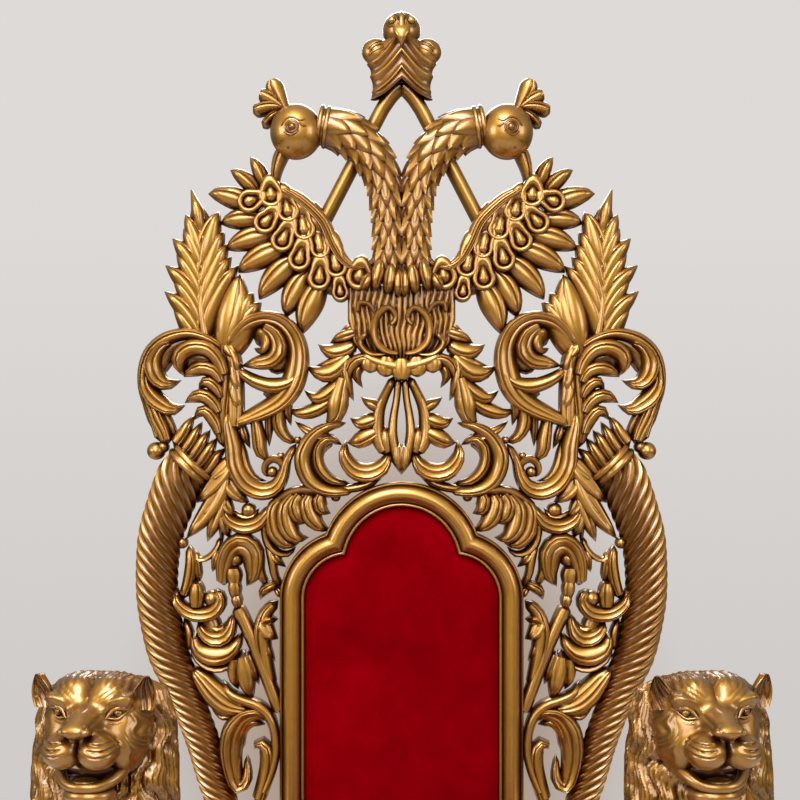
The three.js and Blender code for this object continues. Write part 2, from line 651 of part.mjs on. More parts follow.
function slab(path, front, rear) {
  const shape = new THREE.Shape(path.map(([u, v]) => new THREE.Vector2(u * SQUARE, v * SQUARE)));
  const geometry = new THREE.ExtrudeGeometry(shape, { depth: rear - front, bevelEnabled: false });
  geometry.rotateX(Math.PI / 2);
  geometry.translate(0, rear, PATTERN_FOOT);
  return solidOf(geometry);
}

// Moulding of the frame: offset from the middle line in squares and place in depth
const MOULDING = [[-12.2, PANEL_BACK], [-12.2, BACK_Y - 10], [-8, BACK_Y - 16], [3, BACK_Y - 28],
  [10.5, BACK_Y - 16], [FRAME_HALF, BACK_Y - 6], [FRAME_HALF, PANEL_BACK]];

function backFrame() {
  const path = framePath();
  const courses = MOULDING.map(([offset, y]) => offsetPath(path, offset).map(([u, v]) => place(1, u, v, y)));
  const rings = path.map((_, i) => courses.map((course) => course[i]));
  const indices = [];
  const count = MOULDING.length;
  rings.forEach((_, i) => {
    const next = (i + 1) % rings.length;
    for (let j = 0; j < count; j += 1) {
      const k = (j + 1) % count;
      indices.push(i * count + j, i * count + k, next * count + j);
      indices.push(i * count + k, next * count + k, next * count + j);
    }
  });
  const geometry = new THREE.BufferGeometry();
  geometry.setAttribute("position", new THREE.Float32BufferAttribute(rings.flat(2), 3));
  geometry.setIndex(indices);
  const board = slab(offsetPath(path, -4), BOARD_FRONT, PANEL_BACK);
  return solidOf(geometry).add(board);
}

const backPad = () => slab(offsetPath(framePath(), -12.2 - GAP / SQUARE), PAD_FRONT, BOARD_FRONT - GAP);
const frameCutter = () => slab(offsetPath(framePath(), FRAME_HALF + GAP / SQUARE), CUT_FRONT, CUT_REAR);

function footCutter() {
  const wide = 200;
  const below = PATTERN_BOTTOM - 20;
  const corners = [[-wide, PATTERN_BOTTOM], [wide, PATTERN_BOTTOM], [wide, below], [-wide, below]];
  return slab(corners, CUT_FRONT, CUT_REAR);
}

// Signed distance of the lion's head, in millimetres about its origin: a soft union of rounded masses
function lionDistance(x, y, z) {
  const point = [Math.abs(x), y, z];
  const round = (centre, radii) => {
    const p = point.map((value, k) => (value - centre[k]) / radii[k]);
    const k0 = Math.hypot(...p);
    const k1 = Math.hypot(...p.map((value, k) => value / radii[k]));
    return k0 * (k0 - 1) / Math.max(k1, 1e-6);
  };
  const soft = (a, b, k) => {
    const h = Math.max(k - Math.abs(a - b), 0) / k;
    return Math.min(a, b) - h * h * k / 4;
  };
  let d = round(...LION_SKULL);
  for (const [centre, radii, softness] of LION_MASSES) d = soft(d, round(centre, radii), softness);
  return Math.max(d, -round(...LION_MOUTH));
}

function lionHead(side) {
  const rows = 11;
  const columns = 16;
  const reach = 120;
  const centre = [0, -6, -2];
  const radial = (polar, turn) => {
    const direction = [Math.sin(polar) * Math.cos(turn), -Math.cos(polar), Math.sin(polar) * Math.sin(turn)];
    let far = reach;
    const distance = (r) => lionDistance(...direction.map((d, k) => centre[k] + d * r));
    for (let i = 0; i < 80; i += 1) far -= Math.max(distance(far), 0) * 0.7;
    return [side * LION_X + centre[0] + direction[0] * far, LION_FACE_Y + centre[1] + direction[1] * far,
      LION_FACE_Z + centre[2] + direction[2] * far];
  };
  const rings = [];
  for (let i = 0; i <= rows; i += 1) {
    const polar = 0.04 + (Math.PI - 0.08) * i / rows;
    rings.push(Array.from({ length: columns }, (_, j) => radial(polar, 2 * Math.PI * (j + 0.5) / columns)));
  }
  return loft(rings);
}

// The block behind the mane: a nape that slopes down to the rear, and a narrower stile down to the leg
function lionBlock(side) {
  const x = side * LION_X;
  const ring = (half, front, zFront, zRear = zFront) => [
    [x - half, front, zFront], [x + half, front, zFront],
    [x + half, BLOCK_REAR, zRear], [x - half, BLOCK_REAR, zRear],
  ];
  return loft([
    ring(STILE_HALF, BLOCK_FRONT + 10, RAIL_BOTTOM),
    ring(STILE_HALF, BLOCK_FRONT + 10, RAIL_TOP + 30),
    ring(BLOCK_HALF, BLOCK_FRONT, ARM_TOP - 70),
    ring(BLOCK_HALF, BLOCK_FRONT, NAPE_FRONT, NAPE_REAR),
  ]);
}

// The mane: a skin of locks round the head and down the chest, every second edge drawn in between two
function mane(side) {
  const x = side * LION_X;
  const rings = MANE.map(([half, front, z, deep], row) => Array.from({ length: MANE_LOCKS }, (_, k) => {
    const turn = 2 * Math.PI * k / MANE_LOCKS;
    const drawn = (k + row) % 2 ? 1 : 0.86;
    const y = LION_FACE_Y + front + deep + deep * drawn * Math.sin(turn);
    return [x + half * drawn * Math.cos(turn), y, z];
  }));
  const [out, back, up] = LION_EAR;
  const ear = (hand) => ellipsoid([x + hand * out, LION_FACE_Y + back, LION_FACE_Z + up], [17, 12, 24], 5, 3);
  return [loft(rings), ear(-1), ear(1)];
}

function lionPost(side) {
  const x = side * LION_X;
  const section = [[-1, -0.6], [-0.6, -1], [0.6, -1], [1, -0.6], [1, 0.6], [0.6, 1], [-0.6, 1], [-1, 0.6]];
  const ring = (half, deep, y, z) => section.map(([a, b]) => [x + a * half, y + b * deep, z]);
  const legY = (BLOCK_FRONT + BLOCK_REAR) / 2;
  const leg = loft([
    ring(70, 64, legY, RAIL_BOTTOM + 20),
    ring(52, 52, legY, 290),
    ring(42, 44, legY + 2, 190),
    ring(40, 42, legY + 2, 100),
    ring(52, 58, legY - 6, 56),
    ring(58, 66, legY - 8, 0),
  ]);
  const pieces = [lionHead(side), lionBlock(side), leg, ...mane(side)];
  const toes = 4;
  for (let i = 0; i < toes; i += 1) {
    const across = 26 * (i - (toes - 1) / 2);
    const front = i % (toes - 1) ? 100 : 88;
    const knuckle = [x + across * 0.8, legY - 30, 40];
    const tip = [x + across * 1.05, legY - front, 14];
    pieces.push(spindle(knuckle, tip, [1, 0, 0], 28, 26, 0.7));
  }
  return joined(pieces);
}

function arm(side) {
  const ring = (x, half, y, top, deep) => [[-1, 0.5], [-0.6, 0], [0.6, 0], [1, 0.5], [0.8, 1], [-0.8, 1]].map(
    ([a, b]) => [side * (x + a * half), y, top - b * deep]);
  const front = BLOCK_REAR + GAP;
  const rear = HORN_Y - 27;
  return loft([
    ring(LION_X, 56, front, ARM_TOP + 34, 96),
    ring(LION_X - 10, 50, front + 90, ARM_TOP - 2, 70),
    ring(LION_X - 44, 44, front + 220, ARM_TOP - 14, 62),
    ring(276, 34, rear, ARM_TOP - 8, 66),
  ]);
}

// A seat rail over a plan of four corners, two outer and two inner, its outer face moulded at top and bottom
function rail([outerStart, outerEnd, innerEnd, innerStart], top = RAIL_TOP, bottom = RAIL_BOTTOM) {
  const moulded = ([x, y], [innerX, innerY], inset) => {
    const deep = Math.hypot(innerX - x, innerY - y);
    return [x + (innerX - x) * inset / deep, y + (innerY - y) * inset / deep];
  };
  const bevel = 10;
  const ring = (inset, z) => [
    [...moulded(outerStart, innerStart, inset), z], [...moulded(outerEnd, innerEnd, inset), z],
    [...innerEnd, z], [...innerStart, z],
  ];
  return loft([
    ring(bevel, bottom),
    ring(0, bottom + 22),
    ring(0, top - 24),
    ring(bevel, top - 10),
    ring(bevel, top),
  ]);
}

// Front rail with an apron that drops in a leafy point at the middle
function frontRail() {
  const reach = LION_X - STILE_HALF - GAP;
  const y0 = BLOCK_FRONT + 24;
  const y1 = y0 + RAIL_THICK;
  const pieces = [rail([[-reach, y0], [reach, y0], [reach, y1], [-reach, y1]])];
  for (let i = -4; i <= 4; i += 1) {
    const drop = 34 - 5 * Math.abs(i);
    const x = i * 34;
    const root = [x * 0.7, y0 + 16, RAIL_TOP - 26];
    const tip = [x * 1.12, y0 + 10, RAIL_BOTTOM - drop];
    pieces.push(spindle(root, tip, [1, 0, 0], 40, 26));
  }
  return joined(pieces);
}

// Side rail, running inward from the lion block to the rear leg
function sideRail(side) {
  const front = BLOCK_REAR + GAP;
  const rear = HORN_Y - LEG_HALF - 2 - GAP;
  const atLeg = LEG_X + LEG_HALF;
  const atBlock = LION_X - 14;
  const plan = [[atBlock, front], [atLeg, rear], [atLeg - RAIL_THICK, rear], [atBlock - RAIL_THICK, front]];
  return rail(plan.map(([x, y]) => [side * x, y]));
}

function rearRail() {
  const reach = LEG_X - LEG_HALF - 2 - GAP;
  const rear = HORN_Y + RAIL_THICK / 2;
  const inner = rear - RAIL_THICK - 8;
  const plan = [[reach, rear], [-reach, rear], [-reach, inner], [reach, inner]];
  return rail(plan, PATTERN_FOOT + SQUARE * PATTERN_BOTTOM - GAP);
}

function seatCushion() {
  const inset = [[0.95, 0], [1, 0.2], [1, 0.62], [0.9, 0.88], [0.62, 1]];
  const middle = (CUSHION_FRONT + CUSHION_REAR) / 2;
  const deep = (CUSHION_REAR - CUSHION_FRONT) / 2;
  const corner = 0.86; // where the rounded corners start
  const corners = [[-1, -corner], [-corner, -1], [corner, -1], [1, -corner], [1, corner], [corner, 1],
    [-corner, 1], [-1, corner]];
  const rings = inset.map(([scale, rise]) => corners.map(([a, b]) => [a * CUSHION_HALF * scale,
    middle + b * deep * scale, RAIL_TOP + GAP + rise * CUSHION_RISE]));
  return loft(rings);
}

const throne = new THREE.Group();

function addPiece(name, solid, colour, roughness, metalness) {
  const material = new THREE.MeshStandardMaterial({ color: colour, roughness, metalness });
  const mesh = new THREE.Mesh(geometryOf(solid), material);
  mesh.name = name;
  throne.add(mesh);
}

const addGilt = (name, solid) => addPiece(name, solid, GOLD, 0.35, 0.9);
const addVelvet = (name, solid) => addPiece(name, solid, CRIMSON, 0.9, 0);

addGilt("openwork", openwork([postCutter(-1), postCutter(1), frameCutter(), footCutter()]));
addGilt("back_frame", backFrame());
addVelvet("back_pad", backPad());
const SIDES = [["left", -1], ["right", 1]];
for (const [word, side] of SIDES) {
  addGilt(`back_post_${word}`, backPost(side));
  addGilt(`lion_post_${word}`, lionPost(side));
  addGilt(`arm_${word}`, arm(side));
  addGilt(`side_rail_${word}`, sideRail(side));
}
addGilt("front_rail", frontRail());
addGilt("rear_rail", rearRail());
addVelvet("seat_cushion", seatCushion());

export default throne;
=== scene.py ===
"""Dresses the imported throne: gilded carving, crimson velvet, a pale floor and soft studio light."""

import math

import bpy
import numpy as np
from bpy.props import FloatProperty, FloatVectorProperty, PointerProperty
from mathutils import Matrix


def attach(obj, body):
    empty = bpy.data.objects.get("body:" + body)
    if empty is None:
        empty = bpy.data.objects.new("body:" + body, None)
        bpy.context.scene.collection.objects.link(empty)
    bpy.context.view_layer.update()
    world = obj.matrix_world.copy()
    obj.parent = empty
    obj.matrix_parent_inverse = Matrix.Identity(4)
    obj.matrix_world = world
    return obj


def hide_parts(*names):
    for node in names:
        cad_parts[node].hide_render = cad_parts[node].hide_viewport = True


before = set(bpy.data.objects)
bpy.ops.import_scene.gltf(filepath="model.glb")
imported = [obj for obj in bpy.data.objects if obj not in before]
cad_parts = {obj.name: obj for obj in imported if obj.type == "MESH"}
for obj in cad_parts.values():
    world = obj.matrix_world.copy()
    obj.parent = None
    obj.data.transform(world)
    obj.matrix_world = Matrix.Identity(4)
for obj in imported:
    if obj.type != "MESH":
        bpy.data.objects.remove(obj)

bl_info = {
    "name": "Carved gilt throne",
    "version": (1, 0, 0),
    "blender": (4, 5, 0),
    "location": "View3D > Sidebar > Throne",
    "description": "Builds the carved, gilded and upholstered surfaces of the throne over its solids",
    "category": "Object",
}

MM = 0.001
SQUARE = 0.0015  # one square of the carver's pattern
PATTERN_FOOT = 0.618  # height of the pattern's base line
PATTERN_BOTTOM = -111  # squares
BACK_Y = 0.268  # front of the openwork's ground
PANEL_BACK = 0.284  # rear of the openwork
HORN_Y = 0.274  # depth of the horn's axis
HORN_STARTS = 12  # ridges round the horn
HORN_RATES = (.032, .05, .056)  # turn of the twist in radians a square, at the shares of the length below
HORN_RATE_PLACES = (0, .25, 1)
CAMERA_REACH = 2.65  # camera to the back's ground
CAMERA_X = -0.0024
PHOTO_WIDTH = 1.2  # metres across the picture at the back's ground
PHOTO_MIDDLE = 400  # height of the picture's middle in squares
SENSOR = 36  # millimetres
FLOOR_HALF = 2.4
# Square studio lights: name, place, size, watts and colour
LIGHTS = [("key above", (-.5, -1.9, 3.6), 1.6, 115, (1, .96, .9)),
          ("left window", (-3, -1.6, 1.9), 1.4, 40, (1, .97, .94)),
          ("right window", (3, -1.6, 1.9), 1.4, 30, (1, .95, .9)),
          ("front fill", (-.2, -3.2, 2.4), 2.2, 70, (1, .97, .94)),
          ("rear lift", (0, 3, 3), 1.6, 45, (1, .97, .94))]
LIGHT_AIM = (0, .15, 1.1)
SHARP = 55  # degrees past which an edge of the carving is sharp
LEFT, RIGHT = -1, 1
SIDES = ((LEFT, "left"), (RIGHT, "right"))
STRAP_STEP = 5.4  # squares between the rings of a strap
STRAP_TURN = .22  # radians that a strap may bend from ring to ring
BALL_LIFT = 4  # millimetres from a strap's edge up to a ball's foot
LEAF_SHARES = (.3, .62, .86, .98, 1, .92, .76, .5, .05)  # widths along a leaf lobe


def linear(code):
    """The linear colour of an sRGB hex code."""
    shares = np.array([int(code[i:i + 2], 16) for i in (1, 3, 5)]) / 255
    return tuple(np.where(shares <= 0.04045, shares / 12.92, ((shares + 0.055) / 1.055) ** 2.4))


def group(straps, lobes=(), balls=()):
    """One named group of the pattern: its straps, leaf lobes and balls."""
    return straps, lobes, balls


# One half of the pattern in squares: u outward from the centre line, v up from the base line.
# A strap is its reeds, its lift in millimetres, its widths and the points of its spine.
# A lobe is base u, v, tip u, v, width and lift.
# A ball is u, v and radius.
SIDE_CARVING = {
    "outer volute": group(
        [(1, -3, (8, 8, 7, 2), [(240, 392), (233, 378), (228, 366), (226, 358)]),
         (1, -9, (8, 16, 20, 16, 8), [(196, 457), (214, 458), (230, 450), (240, 436), (242, 424)]),
         (3, 3, (10, 15, 17, 15, 12, 9),
          [(256, 418), (252, 398), (246, 382), (240, 370), (236, 360), (236, 354)]),
         (3, 6, (8, 15, 19, 17, 13, 1),
          [(256, 436), (256, 416), (249, 403), (239, 395), (229, 391), (217, 395)]),
         (3, 8, (6, 13, 19, 18, 13, 1),
          [(226, 459), (241, 452), (249, 437), (245, 423), (235, 416), (221, 420)]),
         (2, 8, (8, 10, 12, 14, 13, 12, 10, 9, 8, 7),
          [(177, 450), (194, 461), (214, 466), (235, 461), (250, 449), (257, 432), (258, 412), (253, 394),
           (247, 376), (242, 358)])],
        balls=[(246, 349, 9), (239, 353, 6)],
    ),
    "inner curl": group(
        [(1, -8, (16, 28, 28, 14), [(182, 424), (196, 438), (212, 440), (222, 436)]),
         (3, 2, (6, 15, 19, 19, 18, 14),
          [(178, 352), (180, 368), (181, 388), (179, 408), (178, 428), (182, 444)]),
         (2, 8, (8, 13, 14, 10, 1), [(181, 362), (186, 377), (194, 388), (202, 388), (208, 380)]),
         (2, 10, (8, 14, 15, 12, 1), [(180, 382), (187, 396), (197, 404), (207, 403), (218, 397)]),
         (2, 11, (7, 13, 13, 2), [(179, 398), (185, 412), (195, 418), (204, 411)]),
         (2, 13, (8, 14, 15, 12, 2), [(178, 412), (185, 427), (198, 432), (209, 429), (219, 423)]),
         (2, 15, (10, 14, 16, 17, 17, 13, 2),
          [(176, 420), (182, 438), (193, 450), (208, 452), (219, 446), (222, 436), (217, 423)])],
    ),
    "stem": group(
        [(2, 3, (18, 18, 17, 13), [(167, 368), (167, 410), (169, 440), (176, 457)])],
        [(173, 402, 161, 386, 15, 6), (173, 420, 161, 404, 15, 6), (174, 438, 162, 422, 15, 6),
         (176, 452, 165, 440, 15, 6)],
    ),
    "cup above the collar": group(
        [(2, 4, (13, 14, 12, 8, 1), [(228, 353), (220, 364), (214, 375), (208, 385)]),
         (2, 6, (12, 13, 12, 8, 1), [(220, 345), (212, 356), (206, 367), (200, 379)]),
         (2, 7, (12, 13, 12, 8, 1), [(213, 338), (205, 349), (198, 361), (192, 371)]),
         (2, 6, (12, 13, 12, 8, 1), [(206, 331), (198, 342), (191, 353), (185, 363)]),
         (2, 4, (12, 13, 12, 8, 1), [(199, 324), (191, 334), (184, 345), (176, 352)])],
    ),
    "middle volute": group(
        [(1, -12, (20, 30, 30, 20), [(150, 466), (128, 462), (122, 442), (138, 436)]),
         (2, 0, (12, 12, 10), [(108, 412), (124, 408), (139, 406)]),
         (3, 8, (9, 17, 21, 23, 22, 20, 18, 16, 15, 12, 7),
          [(168, 377), (143, 387), (122, 399), (109, 417), (104, 440), (107, 460), (118, 475), (134, 481),
           (152, 477), (166, 464), (174, 450)]),
         (2, 10, (6, 13, 16, 14, 10, 1),
          [(101, 430), (110, 419), (126, 414), (144, 418), (158, 426), (170, 438)]),
         (3, 12, (9, 17, 20, 17, 13, 1),
          [(142, 475), (128, 465), (123, 450), (131, 440), (145, 437), (161, 434)]),
         (1, 12, (8, 10, 11, 8, 2), [(146, 470), (138, 465), (135, 456), (140, 449), (148, 452)])],
    ),
    "hanging leaves": group(
        [(2, 4, (10, 14, 13, 1), [(147, 386), (143, 362), (141, 348), (131, 337)]),
         (0, 3, (6, 9, 1), [(161, 380), (157, 364), (152, 351)]),
         (0, 2, (9, 8, 1), [(133, 390), (133, 370), (133, 353)]),
         (2, 3, (14, 14, 10, 5), [(122, 398), (123, 376), (115, 362), (104, 358)]),
         (0, 4, (9, 9, 1), [(114, 404), (114, 388), (111, 374)])],
        balls=[(104, 360, 4), (121, 344, 4)],
    ),
    "scroll": group(
        [(3, 7, (5, 13, 17, 18, 19, 18, 16, 12, 9, 6),
          [(174, 392), (172, 374), (168, 353), (166, 334), (156, 317), (141, 309), (127, 312), (119, 324),
           (115, 340), (106, 356)]),
         (1, 4, (4, 6, 7, 6, 3), [(164, 366), (158, 348), (155, 334), (147, 322), (136, 319)]),
         (1, 5, (7, 8, 8, 7, 6, 3),
          [(117, 329), (121, 338), (129, 341), (136, 336), (137, 328), (132, 323)]),
         (0, 3, (8, 15, 14, 1), [(166, 330), (172, 318), (168, 308), (155, 298)]),
         (2, 3, (6, 11, 9, 2), [(176, 330), (184, 322), (190, 314), (196, 318)])],
        balls=[(129.5, 328, 5.5)],
    ),
    "spray": group(
        [(1, 7, (9, 8, 7, 6, 3), [(167, 345), (175, 325), (178, 305), (181, 280), (180, 256)])],
        [(173, 328, 196, 317, 19, 4), (176, 314, 206, 297, 22, 5), (179, 300, 205, 278, 18, 6),
         (180, 290, 216, 261, 22, 6), (181, 284, 195, 258, 17, 5), (181, 280, 172, 261, 16, 4),
         (177, 306, 153, 297, 19, 4), (172, 324, 154, 313, 18, 3), (178, 292, 166, 282, 14, 4)],
    ),
    "crescent with eye": group(
        [(3, 6, (5, 12, 15, 15, 11, 4),
          [(180, 296), (173, 280), (158, 273), (143, 277), (134, 288), (126, 297)]),
         (1, 4, (3, 6, 6, 4), [(171, 291), (161, 284), (150, 284), (143, 292)])],
        balls=[(153, 290, 7.5)],
    ),
    "shoulder acanthus": group(
        [(1, -8, (16, 36, 38, 20), [(124, 262), (118, 286), (98, 296), (78, 298)]),
         (1, 2, (6, 10, 10, 8, 6, 2),
          [(131, 288), (136, 272), (133, 256), (124, 247), (113, 246), (106, 253)]),
         (2, 6, (8, 16, 19, 17, 12, 1),
          [(113, 307), (127, 292), (127, 272), (120, 261), (113, 256), (103, 256)]),
         (2, 10, (8, 17, 20, 18, 12, 1),
          [(104, 309), (115, 294), (115, 277), (110, 267), (104, 262), (93, 262)]),
         (2, 12, (8, 15, 17, 12, 1), [(98, 310), (106, 298), (105, 287), (101, 281), (93, 276)]),
         (2, 9, (8, 17, 20, 17, 11, 1), [(88, 310), (94, 298), (92, 287), (87, 279), (81, 273), (71, 269)]),
         (2, 11, (8, 13, 14, 10, 1), [(78, 308), (82, 301), (81, 293), (78, 289), (71, 286)]),
         (1, 10, (6, 9, 10, 9, 8, 6), [(130, 286), (121, 301), (105, 309), (89, 309), (76, 307), (66, 303)])],
        balls=[(66, 303, 5)],
    ),
    "shoulder stem": group(
        [(1, 3, (8, 9, 8, 6), [(134, 258), (130, 240), (127, 224), (120, 212)]),
         (0, 3, (7, 10, 1), [(131, 250), (125, 240), (116, 232)]),
         (2, 4, (5, 10, 11, 1), [(122, 218), (130, 214), (138, 209), (142, 199)]),
         (0, 3, (6, 8, 1), [(127, 213), (122, 206), (117, 200)])],
    ),
    "hook": group(
        [(3, 8, (12, 17, 21, 23, 23, 20, 14, 2),
          [(178, 214), (177, 234), (171, 250), (160, 256), (150, 249), (148, 236), (149, 224), (156, 213)]),
         (1, 4, (8, 11, 10, 6), [(150, 258), (143, 246), (142, 228), (134, 213)]),
         (1, 5, (13, 14, 13, 13, 12), [(166, 196), (160, 184), (145, 150), (127, 102), (121, 85)]),
         (0, 8, (6, 15, 16, 11, 1), [(168, 236), (168, 228), (167, 218), (166, 206)]),
         (0, 10, (6, 12, 13, 9, 1), [(167, 222), (167, 214), (166, 206), (165, 196)]),
         (0, 10, (5, 9, 11, 8, 1), [(166, 210), (165, 203), (164, 196), (162, 186)])],
        balls=[(167, 241, 9)],
    ),
    "tulip": group(
        [(2, 3, (7, 11, 12, 11, 9), [(213, 255), (211, 240), (212, 226), (215, 213), (220, 200)]),
         (0, -3, (6, 10, 9, 2), [(207, 250), (206, 238), (204, 226), (203, 216)]),
         (3, 7, (5, 11, 14, 15, 15, 13, 10, 4),
          [(227, 209), (223, 197), (213, 188), (201, 185.5), (189, 188), (181.5, 197), (183, 206),
           (190, 209)]),
         (2, 4, (11, 15, 16, 14, 5), [(205, 189), (205, 199), (205, 207), (205, 214), (206, 221)]),
         (0, 5, (7, 9, 8, 2), [(224, 191), (226, 198), (226, 205), (226, 214)]),
         (1, 2, (5, 6, 6, 6, 5), [(211, 250), (203, 240), (193, 243), (185, 252), (182, 263)]),
         (0, 2, (6, 10, 2), [(183, 252), (186, 240), (190, 227)])],
        balls=[(190, 201, 8.5), (220, 257, 6)],
    ),
    "moons": group(
        [(1, -6, (12, 20, 22, 14), [(200, 194), (191, 176), (188, 156), (182, 138)]),
         (3, 7, (6, 14, 18, 15, 6), [(204, 179), (196, 166), (184, 161), (173, 168), (168, 187)]),
         (1, 5, (4, 8, 7, 3), [(194, 178), (187, 172), (179, 172), (172, 180)]),
         (1, 4, (5, 8, 9, 8, 4), [(210, 158), (205, 142), (190, 132), (175, 133), (165, 142)]),
         (2, 9, (6, 16, 22, 20, 13, 3),
          [(207, 168), (203, 153), (190, 146), (176, 147), (166, 155), (160, 168)]),
         (1, 3, (6, 9, 8, 2), [(218, 182), (213, 168), (213, 155), (217, 146)]),
         (0, 3, (10, 16, 14, 1), [(168, 146), (167, 132), (166, 121), (164, 109)]),
         (0, 6, (10, 18, 16, 1), [(160, 150), (157, 130), (154, 115), (149, 98)]),
         (0, 3, (8, 13, 11, 1), [(156, 150), (152, 136), (148, 127), (143, 114)])],
    ),
    "frame leaf": group(
        [(2, 5, (9, 14, 18, 16, 8), [(124, 199), (136, 186), (140, 166), (137, 142), (128, 112)])],
        [(140, 184, 124, 180, 15, 5), (139, 168, 124, 160, 18, 5), (137, 150, 127, 138, 13, 4)],
    ),
    "wave leaf": group(
        [(4, 5, (8, 18, 25, 25, 19, 6),
          [(150, 92), (163, 93), (176, 98), (188, 108), (199, 121), (210, 133)]),
         (2, 4, (6, 13, 13, 1), [(158, 89), (171, 89), (183, 93), (198, 104)]),
         (0, 3, (8, 11, 1), [(168, 85), (179, 85), (191, 90)]),
         (1, 11, (5, 9, 10, 11, 10, 9, 9, 9, 9),
          [(179, 119), (172, 107), (158, 100), (144, 95), (133, 85), (127, 68), (126, 48), (131, 26),
           (140, 4)])],
    ),
    "bottom hook": group(
        [(3, 7, (5, 13, 19, 23, 22, 18, 15, 11, 4),
          [(131, 79), (143, 86), (158, 82), (168, 68), (171, 50), (169, 30), (163, 14), (155, 22),
           (155, 44)]),
         (1, 4, (5, 8, 8, 4), [(137, 74), (148, 77), (158, 68), (160, 48)]),
         (2, 7, (4, 11, 14, 15, 15, 14), [(148, 49), (143, 57), (136, 52), (134, 38), (137, 20), (144, -4)])],
    ),
    "foot scroll": group(
        [(2, 5, (18, 18, 16, 14, 10), [(145, -2), (150, -24), (146, -46), (133, -56), (121, -52)]),
         (2, 4, (10, 16, 16, 13, 10), [(150, -40), (146, -68), (134, -82), (124, -96), (126, -111)])],
        [(149, -18, 166, -34, 16, 4), (146, -60, 160, -72, 15, 4)],
        [(124, -49, 5)],
    ),
}

CREST_CARVING = {
    "chest leaves": group(
        [(0, 2, (6, 9, 1), [(46, 476), (54, 471), (63, 467)]),
         (0, 4, (8, 13, 10, 1), [(44, 468), (54, 465), (63, 462), (72, 457)]),
         (2, 5, (10, 17, 18, 12, 1), [(44, 458), (55, 451), (66, 448), (75, 450), (84, 456)]),
         (2, 6, (10, 18, 21, 15, 1), [(48, 448), (59, 437), (70, 428), (82, 427), (96, 434)]),
         (1, 9, (6, 9, 8, 1), [(47, 452), (60, 443), (75, 436), (90, 432)]),
         (2, 6, (10, 14, 16, 11, 1), [(56, 428), (67, 413), (78, 404), (87, 402), (98, 410)]),
         (2, 4, (10, 14, 15, 11, 1), [(62, 410), (76, 396), (90, 389), (102, 387), (116, 391)]),
         (2, 8, (12, 19, 23, 17, 2), [(57, 428), (62, 410), (65, 396), (67, 384), (77, 374)]),
         (2, 8, (9, 13, 11, 1), [(54, 446), (57, 428), (54, 414), (48, 399)]),
         (2, 5, (6, 10, 9, 1), [(36, 436), (43, 431), (45, 423), (39, 412)]),
         (2, 10, (8, 12, 12, 9, 1), [(22, 436), (37, 441), (48, 437), (53, 426), (53, 411)])],
    ),
    "palmette": group(
        [(1, 3, (8, 9, 11, 13, 14, 9), [(7, 424), (16, 406), (22, 391), (24, 375), (23, 360), (15, 344)]),
         (1, 5, (7, 7, 8, 10, 10), [(3, 424), (5, 401), (8, 383), (9, 363), (4, 340)]),
         (1, 2, (2, 13, 13, 8), [(18, 376), (16, 364), (15, 354), (11, 344)]),
         (0, 6, (8, 15, 15, 1), [(4, 358), (3, 346), (2, 338), (0, 325)]),
         (2, 4, (8, 12, 9, 1), [(20, 389), (28, 395), (34, 398), (41, 403)]),
         (2, 5, (10, 16, 13, 1), [(23, 383), (33, 379), (42, 377), (52, 382)]),
         (2, 6, (10, 18, 16, 1), [(22, 370), (34, 364), (44, 359), (55, 357)])],
    ),
    "centre scroll": group(
        [(1, -10, (14, 24, 24, 14), [(68, 364), (88, 352), (90, 332), (74, 314)]),
         (2, 9, (5, 10, 14, 17, 17, 16, 12, 7),
          [(56, 377), (74, 373), (89, 363), (98, 346), (97, 330), (88, 316), (72, 309), (48, 309)]),
         (2, 6, (4, 9, 11, 11, 11, 9, 4),
          [(60, 355), (72, 361), (82, 354), (84, 340), (79, 328), (68, 319), (52, 316)]),
         (3, 7, (2, 13, 18, 19, 16, 4), [(56, 360), (57, 344), (47, 330), (32, 327), (19, 334), (11, 349)]),
         (2, 4, (7, 9, 9, 6), [(70, 310), (48, 312), (30, 318), (13, 335)])],
        [(84, 360, 107, 379, 12, 3)],
    ),
}

# The plume: ground and rib, the tips of its lobes with the rib height they grow from, and its fan
PLUME_GROUND = [(184, 440), (190, 486), (200, 530), (200, 560), (204, 586), (209, 604)]
PLUME_RIB = [(194, 452), (200, 490), (200, 530), (200, 562), (204, 588), (211, 611)]
PLUME_OUTER = [(229, 492, 452), (238, 509, 464), (229, 521, 480), (237, 535, 492), (226, 546, 508),
               (230, 562, 520), (219, 572, 540), (217, 586, 550)]
PLUME_INNER = [(164, 535, 470), (171, 544, 490), (174, 557, 506), (178, 569, 524), (183, 589, 546)]
PLUME_FAN = [(137, 488), (141, 498), (149, 508), (157, 516), (162, 526)]

# Wing feathers: base u, v, tip u, v and width; then eye feathers: centre u, v, tail u, v and radius
WING_FEATHERS = [(136, 608, 152, 644, 14), (142, 604, 172, 631, 15), (146, 592, 194, 607, 20),
                 (136, 580, 182, 577, 20), (124, 566, 176, 551, 22), (112, 554, 164, 528, 23),
                 (100, 544, 143, 501, 23), (92, 530, 116, 483, 22), (76, 522, 100, 466, 24)]
EYE_FEATHERS = [(130, 604, 132, 620, 12), (113, 588, 119, 612, 11), (97, 570, 104, 602, 11),
                (81, 551, 90, 594, 10), (65, 533, 74, 568, 11), (42, 523, 40, 538, 13),
                (152, 598, 136, 604, 11), (136, 577, 122, 594, 11), (119, 559, 108, 582, 11),
                (102, 540, 96, 564, 11), (82, 521, 80, 546, 11), (61, 507, 63, 526, 8)]
